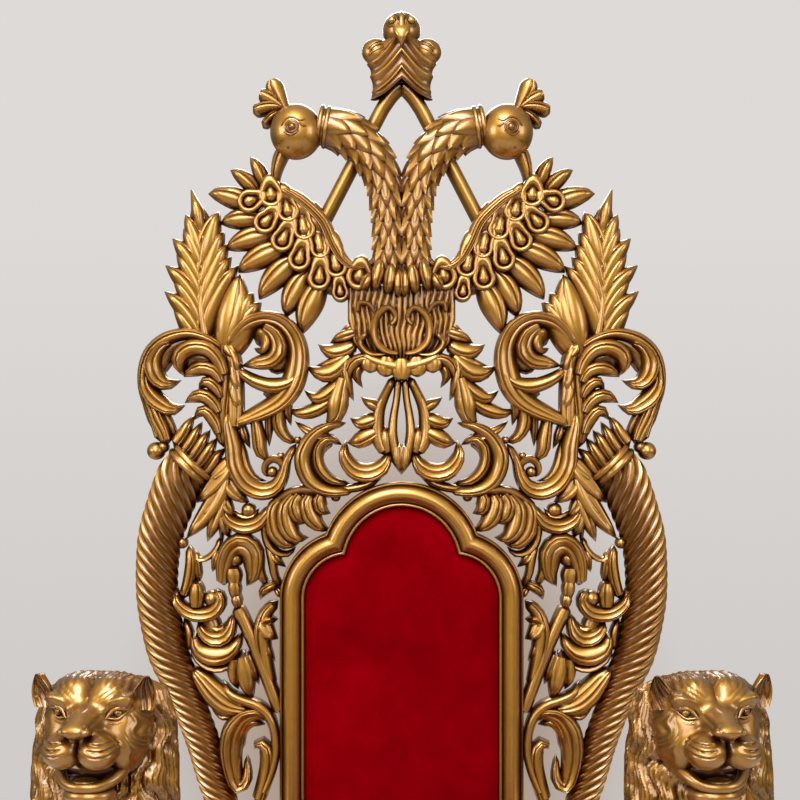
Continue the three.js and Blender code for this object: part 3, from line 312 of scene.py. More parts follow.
# Rings of an eye feather from its middle: share of its radius and height in millimetres
EYE_RINGS = [(.05, 11), (.22, 10.4), (.36, 8), (.42, 4), (.46, 2.6), (.5, 4), (.57, 7), (.68, 8.6), (.8, 8.6),
             (.89, 7), (.95, 3.4), (1, -4)]
WING_EDGE = [(130, 618), (117, 610), (102, 601), (87, 588), (77, 576), (68, 556), (58, 540), (46, 533),
             (32, 536), (22, 548)]
WING_GROUND = [(132, 606), (112, 580), (92, 552), (66, 526), (30, 514)]
NECK_LINE = [(84, 674), (60, 669), (43, 658), (29, 642), (19, 622), (15, 598), (13, 570), (13, 540),
             (13, 516)]
NECK_AXIS = 0.019  # the neck's axis above the openwork's rear
FEATHER_ROWS = 12  # rows of feathers down the neck
NECK_WIDTHS = (40, 39, 37, 35, 30, 27, 25, 25, 26)
HEAD = (105, 667, 26, 28)  # centre and half sizes, in squares
HEAD_EYE = [(.4, 4), (1.6, 3.6), (2.8, 2.6), (3.6, 1), (4, .2), (4.8, .2), (5.6, 1.8), (6.4, 1.8), (7.4, -.5),
            (7.6, -6), (.4, -6)]  # radius in squares and height in millimetres
HEAD_LINES = [[(119, 670), (114, 677), (107, 678.5), (100, 675), (95, 677)],
              [(116, 664), (109, 661), (101, 665)], [(101, 673), (97, 670), (94, 670)]]
BREAST_FEATHERS = [((20, 540), (27, 508), 14), ((10, 536), (14, 505), 15), ((3, 530), (3, 502), 13),
                   ((30, 526), (40, 509), 12)]  # base, tip and width
CREST_FEATHERS = [((130, 721), 19), ((143, 706), 16), ((149, 688), 14), ((139, 673), 10)]  # tip and width
SHIELD_EDGE = [(512, 54), (480, 54), (458, 49), (446, 40), (436, 22), (432, 3)]  # v and half width

# Tendrils on the shield: widths and points
TENDRILS = [
    ((4, 7, 8, 8, 7, 6, 5), [(2, 446), (16, 449), (27, 462), (25, 482), (13, 492), (6, 482), (12, 474)]),
    ((3, 6, 6, 5), [(8, 447), (30, 446), (41, 457), (34, 466)]),
    ((3, 5, 6, 4), [(24, 482), (32, 495), (42, 496), (44, 487)]),
]

# Rings of the finial's body from the top: half width, height at the side and height in the middle, in squares
FINIAL_RINGS = [(12, 764, 766), (30, 755, 767), (34, 746, 768), (33.5, 735, 768), (31, 729, 759),
                (30.5, 723, 748), (29, 715, 740), (28.5, 708, 731), (30, 704, 725), (30, 700, 719),
                (25, 703, 722), (8, 716, 724)]
FINIAL_HEAD = (28.5, 28.5, 28.5)  # half sizes in millimetres, as of the lobes
FINIAL_LOBE = (21.5, 16, 20)
FINIAL_BEAK = [(.2405, 770), (.2365, 764), (.2355, 758), (.239, 751)]  # depth in metres and height in squares
FINIAL_LINES = [[(16, 776), (12.5, 770.5), (6, 771)], [(6.5, 784.5), (3.8, 779), (4.2, 772)],
                [(0, 767.2), (3, 768), (5, 770)]]
# Arcs on a lobe: points, half width in metres and painted shade
FINIAL_ARCS = [([(33, 749), (28, 754.5), (21, 757)], .0016, 0),
               ([(31.5, 746.5), (27, 751.5), (20, 754)], .0016, 1),
               ([(33.5, 742), (27, 747), (17, 752)], .0018, 0)]
STRUT = [(-3, 717), (8, 708), (17, 696), (27, 678), (82, 572)]

# The horn's axis from its collar down and its widths along it, then the collar's steps back and radii
HORN_LINE = [(211, 336.5), (216, 331), (222.5, 320), (231, 297), (241, 266), (244.5, 238), (245, 210),
             (243, 190), (237, 160), (231, 140), (218, 110), (207, 80), (198, 55), (188, 20), (181, 0),
             (174, -30), (169, -60), (168, -84)]
COLLAR_FOOT = (216, 330.5)  # where the collar starts on the horn's axis
COLLAR_WAY = (.7, -.7)  # the axis there, down along the horn
HORN_WIDTHS = (40, 46, 48, 47, 44, 42, 41, 41, 41, 40, 35, 33, 33, 32, 32, 31, 31, 32)
COLLAR = [(-.5, 21), (0, 24), (2, 25.6), (4.5, 25.6), (6, 24), (7, 24), (8.5, 26.4), (11.5, 26.4), (13, 25),
          (13.5, 21)]

# Back frame in squares: upright, then centre and radius of the shoulder and of the arch, on the middle line.
# The board, the pad and the moulding are offsets from that line, the moulding with depths in millimetres.
FRAME_SIDE = 109
SHOULDER = (53, 202, 56)
ARCH = (0, 237, 69)
BOARD_EDGE = -6
BOARD_FACES = (.2765, .2834)  # metres
PAD_EDGE = -12.45
PAD_MIDDLE = (-20, 205)  # heights between which the pad's middle line runs
MOULDING = [(-12.2, 284), (-12.2, 262), (-12.1, 256), (-11.4, 253.4), (-10.2, 252.6), (-9, 253.4),
            (-8.3, 256), (-7.6, 253.4), (-6, 249.4), (-3.8, 246.2), (-1.2, 244.2), (1.4, 243.8), (4, 244.8),
            (6.2, 247.2), (7.8, 250.6), (8.7, 254.6), (9.2, 256.4), (9.8, 254.4), (10.8, 253.4), (12, 254.6),
            (12.5, 258), (12.5, 284)]

# The lion in millimetres
LION_X = 362  # from the throne's middle
LION_FACE = (-272, 815)  # depth and height of the head's origin
LION_EYE = (36, 35)  # across and up from that origin
LION_NECK = -250  # upright line about which the head looks outward
LION_LOOK = 9  # degrees
BLOCK = dict(half=78, stile=70, front=-240, rear=-107, nape_front=856, nape_rear=762)
# Masses of the lion's head in millimetres about its origin: centre, half sizes and softness of the join
LION_MASSES = [((0, 22, 16), (60, 58, 60), 0), ((30, 14, 38), (33, 42, 35), 20),
               ((0, -36, 24), (20, 46, 20), 22), ((37, 2, -6), (23, 38, 34), 22),
               ((21, -56, -6), (24, 26, 21), 10), ((0, -80, 21), (20, 10, 8), 8),
               ((20, -14, 56), (15, 12, 14), 24), ((35, -26, 50), (21, 11, 6), 10)]

# Upper lid, lower lid and the fold under it: points across and up from the head's origin, and half width
LION_LIDS = [([(24, 29), (30, 37.5), (36, 41), (42, 41), (48, 38)], 3.4),
             ([(26, 30), (31, 29), (36, 28.5), (41, 31), (47, 37)], 2),
             ([(27, 25), (34, 22.5), (42, 24.5)], 1.4)]

# Seat rails in millimetres
RAIL_FOOT = 352
RAIL_TOP = 440
REAR_RAIL_TOP = 451.15
FRONT_RAIL = (291.65, -228, -174)  # half length, outer and inner face
REAR_RAIL = (-219.65, 301, 239)  # the same, run from right to left
# Plan of the right side rail, its outer face first
SIDE_RAIL = [(348, -106.65), (282, 241.65), (228, 241.65), (294, -106.65)]
RAIL_SHARP = 35  # degrees past which a moulding's edge is sharp
LEDGE = 12  # height of the ledge on which the cushion lies
LEDGE_WIDTHS = (36, 3)  # at the front and rear of a side rail
# Section of a rail: inset from its outer face and height above its foot, stretched to the rail's height
RAIL_SECTION = [(14, 0), (8, 1), (4, 4), (2.5, 8), (4, 12), (7, 14), (8, 16), (4, 19), (1, 24), (0, 32),
                (0, 54), (1.5, 62), (6, 66), (8, 68), (6, 70), (5, 74), (6.5, 77), (10, 78), (10, 87),
                (12, 88)]

# Seat cushion in millimetres
CUSHION_HALF = (262, 239)
CUSHION_MIDDLE = -23
CUSHION_FOOT = RAIL_TOP + .5
CUSHION_HEIGHT = 71
# Share of the full plan and of the height, from the foot up
CUSHION_LEVELS = [(.9, 0), (.965, .03), (.99, .12), (1, .3), (1, .5), (.985, .66), (.95, .8), (.86, .9),
                  (.7, .96), (.4, .99), (.1, 1)]

# Valleys across a strap by its kind: place from -1 at the outer edge to 1 at the inner, width and depth
VALLEYS = {0: ((.25, .34, .26),), 1: (), 2: ((-.3, .15, .2),), 3: ((-.55, .1, .16), (.1, .15, .2)),
           4: ((-.6, .1, .14), (-.15, .12, .18), (.35, .13, .18))}


class Carving:
    """Closed shells gathered into one mesh, with an amount for each point that darkens its colour: painted
    shade in grooves, hollows and under edges, and a darker tone over some whole parts.
    """

    def __init__(self):
        self.points, self.quads, self.fans, self.shade_amounts = [], [], [], []
        self.count = 0

    def stagger(self):
        """A depth of a millimetre at most that differs from shell to shell, to keep flat backs apart."""
        return (len(self.points) * 7 % 101) * .00001

    # The depth given with a shell is the amount of painted shade of its points.
    def shell(self, grid, depth=0.0):
        """Adds rows of closed rings as one closed tube, each end ring joined to its middle."""
        rows, cols = grid.shape[:2]
        ring = np.arange(rows * cols).reshape(rows, cols)
        turn = np.roll(ring, -1, axis=1)
        quads = np.stack([ring[:-1], turn[:-1], turn[1:], ring[1:]], -1).reshape(-1, 4)
        head, tail = np.full(cols, rows * cols), np.full(cols, rows * cols + 1)
        fans = np.concatenate([np.stack([turn[0], ring[0], head], -1),
                               np.stack([ring[-1], turn[-1], tail], -1)])
        points = np.concatenate([grid.reshape(-1, 3), grid[:1].mean(1), grid[-1:].mean(1)])
        depth = np.broadcast_to(depth, (rows, cols))
        self.add(points, quads, fans, np.concatenate([depth.ravel(), depth[0, :1], depth[-1, :1]]))

    def hoop(self, grid, depth):
        """Adds a grid that is closed both ways."""
        rows, cols = grid.shape[:2]
        ring = np.arange(rows * cols).reshape(rows, cols)
        on, up = np.roll(ring, -1, axis=1), np.roll(ring, -1, axis=0)
        quads = np.stack([ring, on, np.roll(on, -1, axis=0), up], -1).reshape(-1, 4)
        depth = np.broadcast_to(depth, (rows, cols)).ravel()
        self.add(grid.reshape(-1, 3), quads, np.zeros((0, 3), int), depth)

    def add(self, points, quads, fans, shade_amounts):
        """Adds one closed surface of quads and triangles, turned to face outward."""
        thirds = np.concatenate([quads[:, :3], quads[:, [0, 2, 3]], fans])
        a, b, c = (points[thirds[:, k]] - points[0] for k in range(3))
        if np.einsum("ij,ij->", a, np.cross(b, c)) < 0:
            quads, fans = quads[:, ::-1], fans[:, ::-1]
        self.points.append(points)
        self.quads.append(quads + self.count)
        self.fans.append(fans + self.count)
        self.shade_amounts.append(shade_amounts)
        self.count += len(points)

    def turn(self, pivot, angle):
        """Turns all the shells so far about an upright line."""
        c, s = math.cos(angle), math.sin(angle)
        about, spin = np.array([*pivot, 0]), np.array([(c, s, 0), (-s, c, 0), (0, 0, 1)])
        self.points = [(points - about) @ spin + about for points in self.points]

    def build(self, name, material, sharp=SHARP):
        """Makes the mesh object, smooth except along edges sharper than the angle."""
        points = np.concatenate(self.points)
        quads, fans = np.concatenate(self.quads), np.concatenate(self.fans)
        mesh = bpy.data.meshes.new(name)
        corners = np.concatenate([quads.ravel(), fans.ravel()])
        starts = np.concatenate([np.arange(len(quads)) * 4, 4 * len(quads) + np.arange(len(fans)) * 3])
        mesh.vertices.add(len(points))
        mesh.vertices.foreach_set("co", points.ravel())
        mesh.loops.add(len(corners))
        mesh.loops.foreach_set("vertex_index", corners.astype(np.int32))
        mesh.polygons.add(len(starts))
        mesh.polygons.foreach_set("loop_start", starts.astype(np.int32))
        mesh.update(calc_edges=True)
        mesh.polygons.foreach_set("use_smooth", np.ones(len(starts), bool))
        mesh.set_sharp_from_angle(angle=math.radians(sharp))
        # Painted shade: each point keeps how far the gilding darkens it toward the brown of the hollows.
        layer = mesh.attributes.new("shade_and_tone", "FLOAT", "POINT")
        layer.data.foreach_set("value", np.concatenate(self.shade_amounts).astype(np.float32))
        mesh.materials.append(material)
        made = bpy.data.objects.new(name, mesh)
        bpy.context.scene.collection.objects.link(made)
        return made


def gild(context, carving, name, node, sharp=SHARP):
    """Builds a carving in gilded wood over one of the solids."""
    piece = carving.build(name, gilded_wood(context.scene.throne_colours), sharp)
    finish_piece(piece, node)


def finish_piece(piece, node):
    """Ties a finished piece to the frame and hides the solid that it shows in its place."""
    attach(piece, "root")
    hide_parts(node)


def spline(points, count):
    """A Catmull-Rom curve at equal steps of its length, and the share of its points passed at each step."""
    p = np.asarray(points, float)
    ends = np.vstack([2 * p[0] - p[1], p, 2 * p[-1] - p[-2]])
    t = np.linspace(0, len(p) - 1, 16 * len(p))
    i = np.minimum(t.astype(int), len(p) - 2)
    f = (t - i)[:, None]
    a, b, c, d = ends[i], ends[i + 1], ends[i + 2], ends[i + 3]
    square, cube = 2 * a - 5 * b + 4 * c - d, 3 * b - a - 3 * c + d
    curve = .5 * (2 * b + (c - a) * f + square * f ** 2 + cube * f ** 3)
    run = np.concatenate([[0], np.cumsum(np.linalg.norm(np.diff(curve, axis=0), axis=1))])
    at = np.linspace(0, run[-1], count)
    line = np.stack([np.interp(at, run, curve[:, k]) for k in range(p.shape[1])], 1)
    return line, np.interp(at, run, t) / (len(p) - 1)


def unit(v):
    """Vectors brought to length one."""
    return v / np.maximum(np.linalg.norm(v, axis=-1, keepdims=True), 1e-12)


def spread(values, t):
    """Values at even places from 0 to 1, read at t."""
    return np.interp(t, np.linspace(0, 1, len(values)), values)


def on_board(side):
    """Pattern u, v in squares and height in metres above the openwork's rear, as points in space."""
    return lambda u, v, h: np.stack([side * SQUARE * u, PANEL_BACK - h, PATTERN_FOOT + SQUARE * v], -1)


def on_ball(side, centre, radii):
    """Pattern u, v in squares and height in metres above the front of an ellipsoid, as points in space."""
    (x, y, z), (rx, ry, rz) = (np.asarray(three) * MM for three in (centre, radii))

    def place(u, v, h):
        """The point over u, v; outside the ellipsoid's outline it keeps to a shallow level."""
        across, up = side * SQUARE * np.asarray(u), PATTERN_FOOT + SQUARE * np.asarray(v)
        level = np.sqrt(np.maximum(1 - ((across - x) / rx) ** 2 - ((up - z) / rz) ** 2, .01))
        return np.stack([across, y - ry * level - h, up], -1)

    return place


def strap(carving, place, widths, points, reeds, lift, sizes, spacing=STRAP_STEP, blunt=True, low=1, curl=0):
    """A carved strap.

    Its spine is a Catmull-Rom curve. Across it the front is a dome with steep sides, (1 - |x|^2.4)^0.5,
    higher at the outer edge of the bend, cut by valleys exp(-|x - c|^1.3) that fade toward its ends.
    It stands higher where the strap is wide, and its end may curl forward. The back is flat.
    """
    length = np.linalg.norm(np.diff(np.asarray(points, float), axis=0), axis=1).sum()
    step = unit(np.gradient(spline(points, 40)[0], axis=0))
    bending = np.arccos(np.clip((step[:-1] * step[1:]).sum(1), -1, 1)).sum()
    rows = int(np.clip(max(length / spacing, bending / STRAP_TURN), 8, 40))
    line, t = spline(points, rows)
    step = unit(np.gradient(line, axis=0))
    half = spread(widths, t) / 2
    run = np.linspace(0, length, rows)
    if blunt:
        for end, distance in ((half[0], run), (half[-1], run[::-1])):
            half = half * np.sqrt(np.maximum(1 - np.clip(1 - distance / max(end, .5), 0, 1) ** 2, .02))
    bend = (step[:-1, 0] * step[1:, 1] - step[:-1, 1] * step[1:, 0]).sum()
    inner = 1 if bend >= 0 else -1
    close = np.array([-1.1, 0, 1.1])
    valleys = VALLEYS[reeds]
    x = np.unique(np.concatenate([-np.cos(np.linspace(0, np.pi, 9)),
                                  *(c + w * close for c, w, _ in valleys)]))
    cut = sum((d * np.exp(-np.abs((x - c) / w) ** 1.3) for c, w, d in valleys), 0 * x)
    cut = cut * (np.sin(np.pi * np.linspace(.04, .96, rows)) ** .5)[:, None]
    dome = (1 - np.abs(x) ** 2.4) ** .5
    tilt = 1 - min(abs(bend), 1) * (.4 if reeds > 2 else .25) * x
    x = inner * x
    full = np.clip(half / 5, 0, 1)
    edge = sizes.edge * (.35 + .65 * full)
    crown = ((sizes.rise - sizes.edge) * full + sizes.crown * half * SQUARE) * low
    front = dome * tilt * (1 - sizes.flute * cut)
    ahead = lift + curl * t ** 2
    height = edge[:, None] + crown[:, None] * front + (ahead * full)[:, None] * MM
    u = line[:, :1] - step[:, 1:] * half[:, None] * x
    v = line[:, 1:] + step[:, :1] * half[:, None] * x
    # Painted shade: the valleys are darkened by 1.3 times their cut, and the flat back by .35.
    backed(carving, place, u, v, height, 1.3 * cut, .35)


def backed(carving, place, u, v, height, depth, back_shade):
    """A relief of rows across the board, each closed by a flat back a little off the board's rear."""
    ends = [-1, 0]
    back = np.full((len(u), 2), carving.stagger())
    grid = np.concatenate([place(u, v, height), place(u[:, ends], v[:, ends], back)], axis=1)
    # The amounts given for the relief and for its back are painted shade.
    carving.shell(grid, np.concatenate([depth, np.full((len(u), 2), back_shade)], axis=1))


def lobe(carving, place, line, width, lift, sizes, reeds=0, curl=5):
    """A leaf lobe: a strap with a broad scoop that ends in a point, its tip curling forward."""
    strap(carving, place, width * np.array(LEAF_SHARES), line, reeds, lift, sizes, blunt=False, curl=curl)


def leaf_line(base, tip, way):
    """A line that leaves its base along the given way and bends to its tip: a quadratic Bezier curve."""
    base, tip = np.asarray(base, float), np.asarray(tip, float)
    knee = base + np.asarray(way) * .5 * np.linalg.norm(tip - base)
    s = np.linspace(0, 1, 5)[:, None]
    return base * (1 - s) ** 2 + knee * 2 * s * (1 - s) + tip * s ** 2


def sickle_line(spine, base, tip):
    """A line along a strap's spine to its base, which leaves it by the run's power 2.2 for the tip."""
    base, tip = np.asarray(base, float), np.asarray(tip, float)
    run = np.linalg.norm(np.diff(spine, axis=0), axis=1).sum()
    near = np.linalg.norm(spine - base, axis=1).argmin() / (len(spine) - 1)
    way = np.gradient(spine, axis=0)[int(near * (len(spine) - 1))]
    sign = 1 if way @ (tip - base) >= 0 else -1
    share = np.linalg.norm(tip - base) / run
    start, end = np.clip([near - sign * .9 * share, near + sign * .4 * share], 0, 1)
    s = np.linspace(0, 1, 7)
    at = (start + (end - start) * s) * (len(spine) - 1)
    on = np.stack([np.interp(at, np.arange(len(spine)), spine[:, k]) for k in range(2)], 1)
    return on + (tip - on[-1]) * (s ** 2.2)[:, None]


def turned(carving, place, centre, profile, segments=20, depth=0.0):
    """A turned boss: a profile of radius and height, spun about the depth axis."""
    angle = np.linspace(0, 2 * np.pi, segments, endpoint=False)
    radius, height = (np.array(column)[:, None] for column in zip(*profile))
    u = centre[0] + radius * np.cos(angle)
    v = centre[1] + radius * np.sin(angle)
    carving.shell(place(u, v, np.broadcast_to(height, u.shape)), depth)


def ball(carving, place, u, v, r, sizes, lift):
    """A half ball of that radius standing on the board."""
    turn = np.linspace(.06, np.pi / 2, 7)
    base = sizes.edge + lift * MM
    profile = [(r * s, base + r * SQUARE * 1.1 * c) for s, c in zip(np.sin(turn), np.cos(turn))]
    foot = carving.stagger()
    turned(carving, place, (u, v), profile + [(r, foot), (.1, foot)])


def sweep(carving, path, across, half, thick, reeds=0, count=12, depth=0.0, rows=None):
    """A tube along a path in space: an ellipse of half width and half thickness, with reeds along it."""
    rows = rows or 3 * len(path)
    line, t = spline(path, rows)
    step = unit(np.gradient(line, axis=0))
    across = np.asarray(across, float)
    wide = unit(across - step * (step @ across)[:, None])
    out = np.cross(step, wide)
    angle = np.linspace(0, 2 * np.pi, count, endpoint=False)
    dent = 1 - .25 * (1 - np.abs(np.cos(reeds * angle / 2))) if reeds else np.ones(count)
    a = (spread(half, t)[:, None] * np.cos(angle) * dent)[..., None]
    b = (spread(thick, t)[:, None] * np.sin(angle) * dent)[..., None]
    carving.shell(line[:, None] + wide[:, None] * a + out[:, None] * b, depth)


def sweep_mm(carving, path, across, half, thick, *more):
    """The same, with its path and sizes in millimetres."""
    sweep(carving, np.asarray(path) * MM, across, np.array(half) * MM, np.array(thick) * MM, *more)


def rounded_ring(half_x, half_y, count=40, square=.3):
    """A ring between ellipse and rectangle: cosine and sine, their size raised to a power under one."""
    angle = np.linspace(0, 2 * np.pi, count, endpoint=False) + np.pi / count
    soft = lambda s: np.sign(s) * np.abs(s) ** square
    return np.stack([half_x * soft(np.cos(angle)), half_y * soft(np.sin(angle))], -1)


def blob(carving, centre, radii, rows=10, cols=16, depth=0.0):
    """An ellipsoid, in millimetres."""
    polar = np.linspace(.05, np.pi - .05, rows)[:, None]
    turn = np.linspace(0, 2 * np.pi, cols, endpoint=False)
    way = np.stack([np.sin(polar) * np.cos(turn), np.sin(polar) * np.sin(turn), np.cos(polar) + 0 * turn], -1)
    carving.shell((np.asarray(centre) + way * np.asarray(radii)) * MM, depth)


def ornament(carving, side, parts, sizes):
    """One group of the pattern on one side: straps, the lobes that leave them along their run, and balls."""
    place = on_board(side)
    straps, lobes, balls = parts
    for reeds, lift, widths, points in straps:
        strap(carving, place, np.array(widths) * sizes.fullness, points, reeds, lift, sizes)
    spines = [spline(points, 60)[0] for _, _, _, points in straps]
    for u0, v0, u1, v1, width, lift in lobes:
        spine = min(spines, key=lambda line: np.linalg.norm(line - (u0, v0), axis=1).min())
        line = sickle_line(spine, (u0, v0), (u1, v1))
        lobe(carving, place, line, width * sizes.leafiness, lift, sizes)
    for u, v, r in balls:
        ball(carving, place, u, v, r, sizes, BALL_LIFT)


def plume(carving, side, sizes):
    """The upright acanthus plume: fluted lobes from the rib to their tips, and the rib over them."""
    place = on_board(side)
    strap(carving, place, (40, 54, 46, 34, 18, 2), PLUME_GROUND, 1, -6, sizes, 4, True, .3)
    for k, tip in enumerate(PLUME_FAN):
        line = leaf_line((183 - k, 432 + 3 * k), tip, unit(np.array([-.25, 1])))
        lobe(carving, place, line, 34, -3 + k, sizes, 2, 2)
    for lobes, foot, width, lift in ((PLUME_OUTER, (199, -20), 26, -3), (PLUME_INNER, (200, -22), 27, -2)):
        for u, v, root in lobes:
            line = leaf_line((foot[0], root + foot[1]), (u, v), (0, 1))
            lobe(carving, place, line, width, lift, sizes, 2, 2)
    strap(carving, place, (12, 10, 8, 7, 14, 2), PLUME_RIB, 1, 4, sizes, 3, False)


def wing(carving, side, sizes):
    """The wing: a ground, pointed flight feathers, rows of drop shaped eye feathers, and its edge."""
    place = on_board(side)
    strap(carving, place, (20, 46, 52, 44, 26), WING_GROUND, 1, -2, sizes, 4, True, .35)
    for u0, v0, u1, v1, width in WING_FEATHERS:
        run = np.array([u1 - u0, v1 - v0])
        way = unit(run + .3 * np.array([-run[1], run[0]]))
        line = leaf_line((u0, v0), (u1, v1), way)
        lobe(carving, place, line, width * 1.15, -3, sizes, 2, 4)
    strap(carving, place, (5, 10, 13, 13, 13, 13, 12, 10, 8, 5), WING_EDGE, 4, 9, sizes, 3)
    top = sizes.rise + 3 * MM
    rings = np.array(EYE_RINGS)
    turn = np.linspace(-1, 1, 24, endpoint=False)
    share = np.concatenate([rings[:, :1], [[1], [.05]]])
    # Painted shade: the groove ring round the eye and the rim of each eye feather are darkened.
    deep = np.interp(share, [.38, .43, .49, .54, .92, 1], [0, .7, .7, 0, 0, .5])
    for u, v, tail_u, tail_v, r in EYE_FEATHERS:
        long = math.hypot(tail_u - u, tail_v - v)
        aim = math.atan2(tail_v - v, tail_u - u)
        angle = aim + np.pi * np.sign(turn) * np.abs(turn) ** 1.3
        height = np.concatenate([top + rings[:, 1] * MM, [carving.stagger()] * 2])[:, None]
        reach = share * r * 1.15 + (long - .6 * r) * share ** 1.4 * np.maximum(np.cos(angle - aim), 0) ** 7
        height = height - np.clip(reach / r - 1.1, 0, 3) * .0016 * (height > .003)
        carving.shell(place(u + reach * np.cos(angle), v + reach * np.sin(angle), height + 0 * angle), deep)


def peacock_neck(carving, side):
    """The neck: a tube about its line, a collar of two rings and overlapping pointed feathers."""
    place = on_board(side)
    rows = 48
    line, t = spline(NECK_LINE, rows)
    step = unit(np.gradient(line, axis=0))
    half = spread(NECK_WIDTHS, t) / 2

    def on_neck(turn, run, rise):
        """A point by its turn about the neck's axis, share of its length and rise above it."""
        s = np.clip(run, 0, 1) * (rows - 1)
        at = lambda values: np.interp(s, np.arange(rows), values)
        u, v, du, dv, r = (at(c) for c in (line[:, 0], line[:, 1], step[:, 0], step[:, 1], half))
        wide = r + rise / SQUARE
        out = wide * np.sin(turn)
        return place(u - dv * out, v + du * out, NECK_AXIS + .9 * wide * SQUARE * np.cos(turn))

    turn = np.linspace(0, 2 * np.pi, 28, endpoint=False)[None]
    run = np.linspace(0, 1, rows)[:, None]
    # Painted shade: the neck tube, seen only between the feathers, is darkened.
    carving.shell(on_neck(turn + 0 * run, run + 0 * turn, -.001), .8)
    for start in (0, .034):
        ring = np.array([(0, -2), (.004, 2), (.013, 3.4), (.022, 2), (.027, -2)])
        run, rise = ring[:, :1] + start + 0 * turn, ring[:, 1:] * MM + 0 * turn
        carving.shell(on_neck(turn + 0 * run, run, rise))
    p = np.linspace(-1, 1, 7)[None]
    q = np.linspace(0, 1, 8)[:, None]
    pair = np.zeros((8, 2))
    across = .6 * p * (1 - q ** 2) ** .8 + .02 * p
    ridge = 1.6 * np.exp(-(p / .2) ** 2)
    rise = (-.5 + (7.4 * q ** .8 + ridge) * (1 - .85 * p ** 2)) * MM
    # Painted shadow: each feather darkens toward its base and at its sides, and its underside is darkened.
    shade = np.concatenate([np.clip((1 - q) ** 1.3 + 1.2 * p ** 4, .25, 1), pair + .9], axis=1)
    for i in range(FEATHER_ROWS):
        run = .05 + .86 * i / FEATHER_ROWS + .135 * q
        for k in range(-2, 3):
            middle = (k + .5 * (i % 2)) * .88
            front = on_neck(middle + across, run + 0 * p, rise)
            under = on_neck(middle + across[:, [-1, 0]], run + pair, pair - .003)
            carving.shell(np.concatenate([front, under], axis=1), shade)


def peacock_head(carving, side, sizes):
    """The head: an ellipsoid with beak, crest, ringed eye, incised lines and nostrils."""
    place = on_board(side)
    u, v, ru, rv = HEAD
    head = np.array([side * SQUARE * u, BACK_Y - .012, PATTERN_FOOT + SQUARE * v]) / MM
    radii = (ru * SQUARE / MM, 34, rv * SQUARE / MM)
    blob(carving, head, radii, 22, 32)
    strap(carving, place, (17, 14, 10, 4), [(117, 652), (123, 638), (126, 624), (125, 611)], 2, 8, sizes)
    for tip, wide in CREST_FEATHERS:
        line = leaf_line((112, 684), tip, unit(np.array([8., 12])))
        strap(carving, place, wide * np.array([.45, .6, .85, 1, .9]), line, 2, 8, sizes, 2)
    on_head = on_ball(side, head, radii)
    # The eye boss is darkened; the incised lines and the nostrils take painted shade.
    turned(carving, on_head, (108, 669), [(r, h * MM) for r, h in HEAD_EYE], 24, .75)
    for points in HEAD_LINES:
        line = on_head(*spline(points, 14)[0].T, .0006)
        sweep(carving, line, (0, 0, 1), (.0008, .0016, .0016, .0006), (.001, .001), 0, 8, .9, 14)
    for nostril in ((112, 649), (118, 656)):
        turned(carving, on_head, nostril, [(.2, .0008), (1.2, .0004), (1.4, -.002), (.2, -.002)], 10, .9)


def breast(carving, side, sizes):
    """Pointed feathers over the shield's upper edge."""
    place = on_board(side)
    raised = lambda u, v, h: place(u, v, np.where(h > .002, h + .026, .02))
    for base, tip, wide in BREAST_FEATHERS:
        lobe(carving, raised, leaf_line(base, tip, unit(np.subtract(tip, base))), wide, 0, sizes, 2)


def shield(carving, sizes):
    """The chest shield: a crowned plate with wavy |sin| strands drawn together at its foot, and tendrils."""
    rows, cols = 38, 129
    v = np.linspace(514, 432, rows)[:, None]
    half = np.interp(-v, [-a for a, _ in SHIELD_EDGE], [b for _, b in SHIELD_EDGE])
    x = np.linspace(-1, 1, cols)[None]
    bulge = 1 - .55 * x ** 2 - .35 * np.clip((452 - v) / 20, 0, 1)
    strand = np.abs(np.sin(9 * np.pi * (x + .025 * np.sin(v / 9 + 5 * x) + .012 * np.sin(v / 4.3))))
    rim = np.exp(-((np.abs(x) - .95) / .04) ** 2)
    height = sizes.edge + .018 * bulge + .004 * strand ** .8 * (1 - rim) + .006 * rim
    height = np.where(np.abs(x) > .99, sizes.edge, height)
    # Painted shade: the grooves between the strands are darkened, and the flat back by .5.
    deep = .55 * (1 - strand) ** 3 * (1 - rim)
    backed(carving, on_board(RIGHT), half * x, v + 0 * x, height, deep, .5)
    for side in (LEFT, RIGHT):
        raised = lambda a, b, h: on_board(side)(a, b, np.where(h > .002, h + .021, .012))
        for widths, points in TENDRILS:
            strap(carving, raised, widths, points, 1, 0, sizes, 1.6)
        low = lambda a, b, h: on_board(side)(a, b, np.where(h > .002, h + .012, h))
        strap(carving, low, (14, 13, 11, 8), [(0, 433), (16, 436), (30, 441), (40, 447)], 1, 0, sizes, 2)
        for k in range(3):
            line = [(15 * k, 443 + 2 * k), (15.5 * k, 433 + 2 * k), (16 * k, 419 + 4 * k)]
            strap(carving, low, np.array([16, 22, 20]) - k, line, 0, 9 - k, sizes, 2, True, .45)


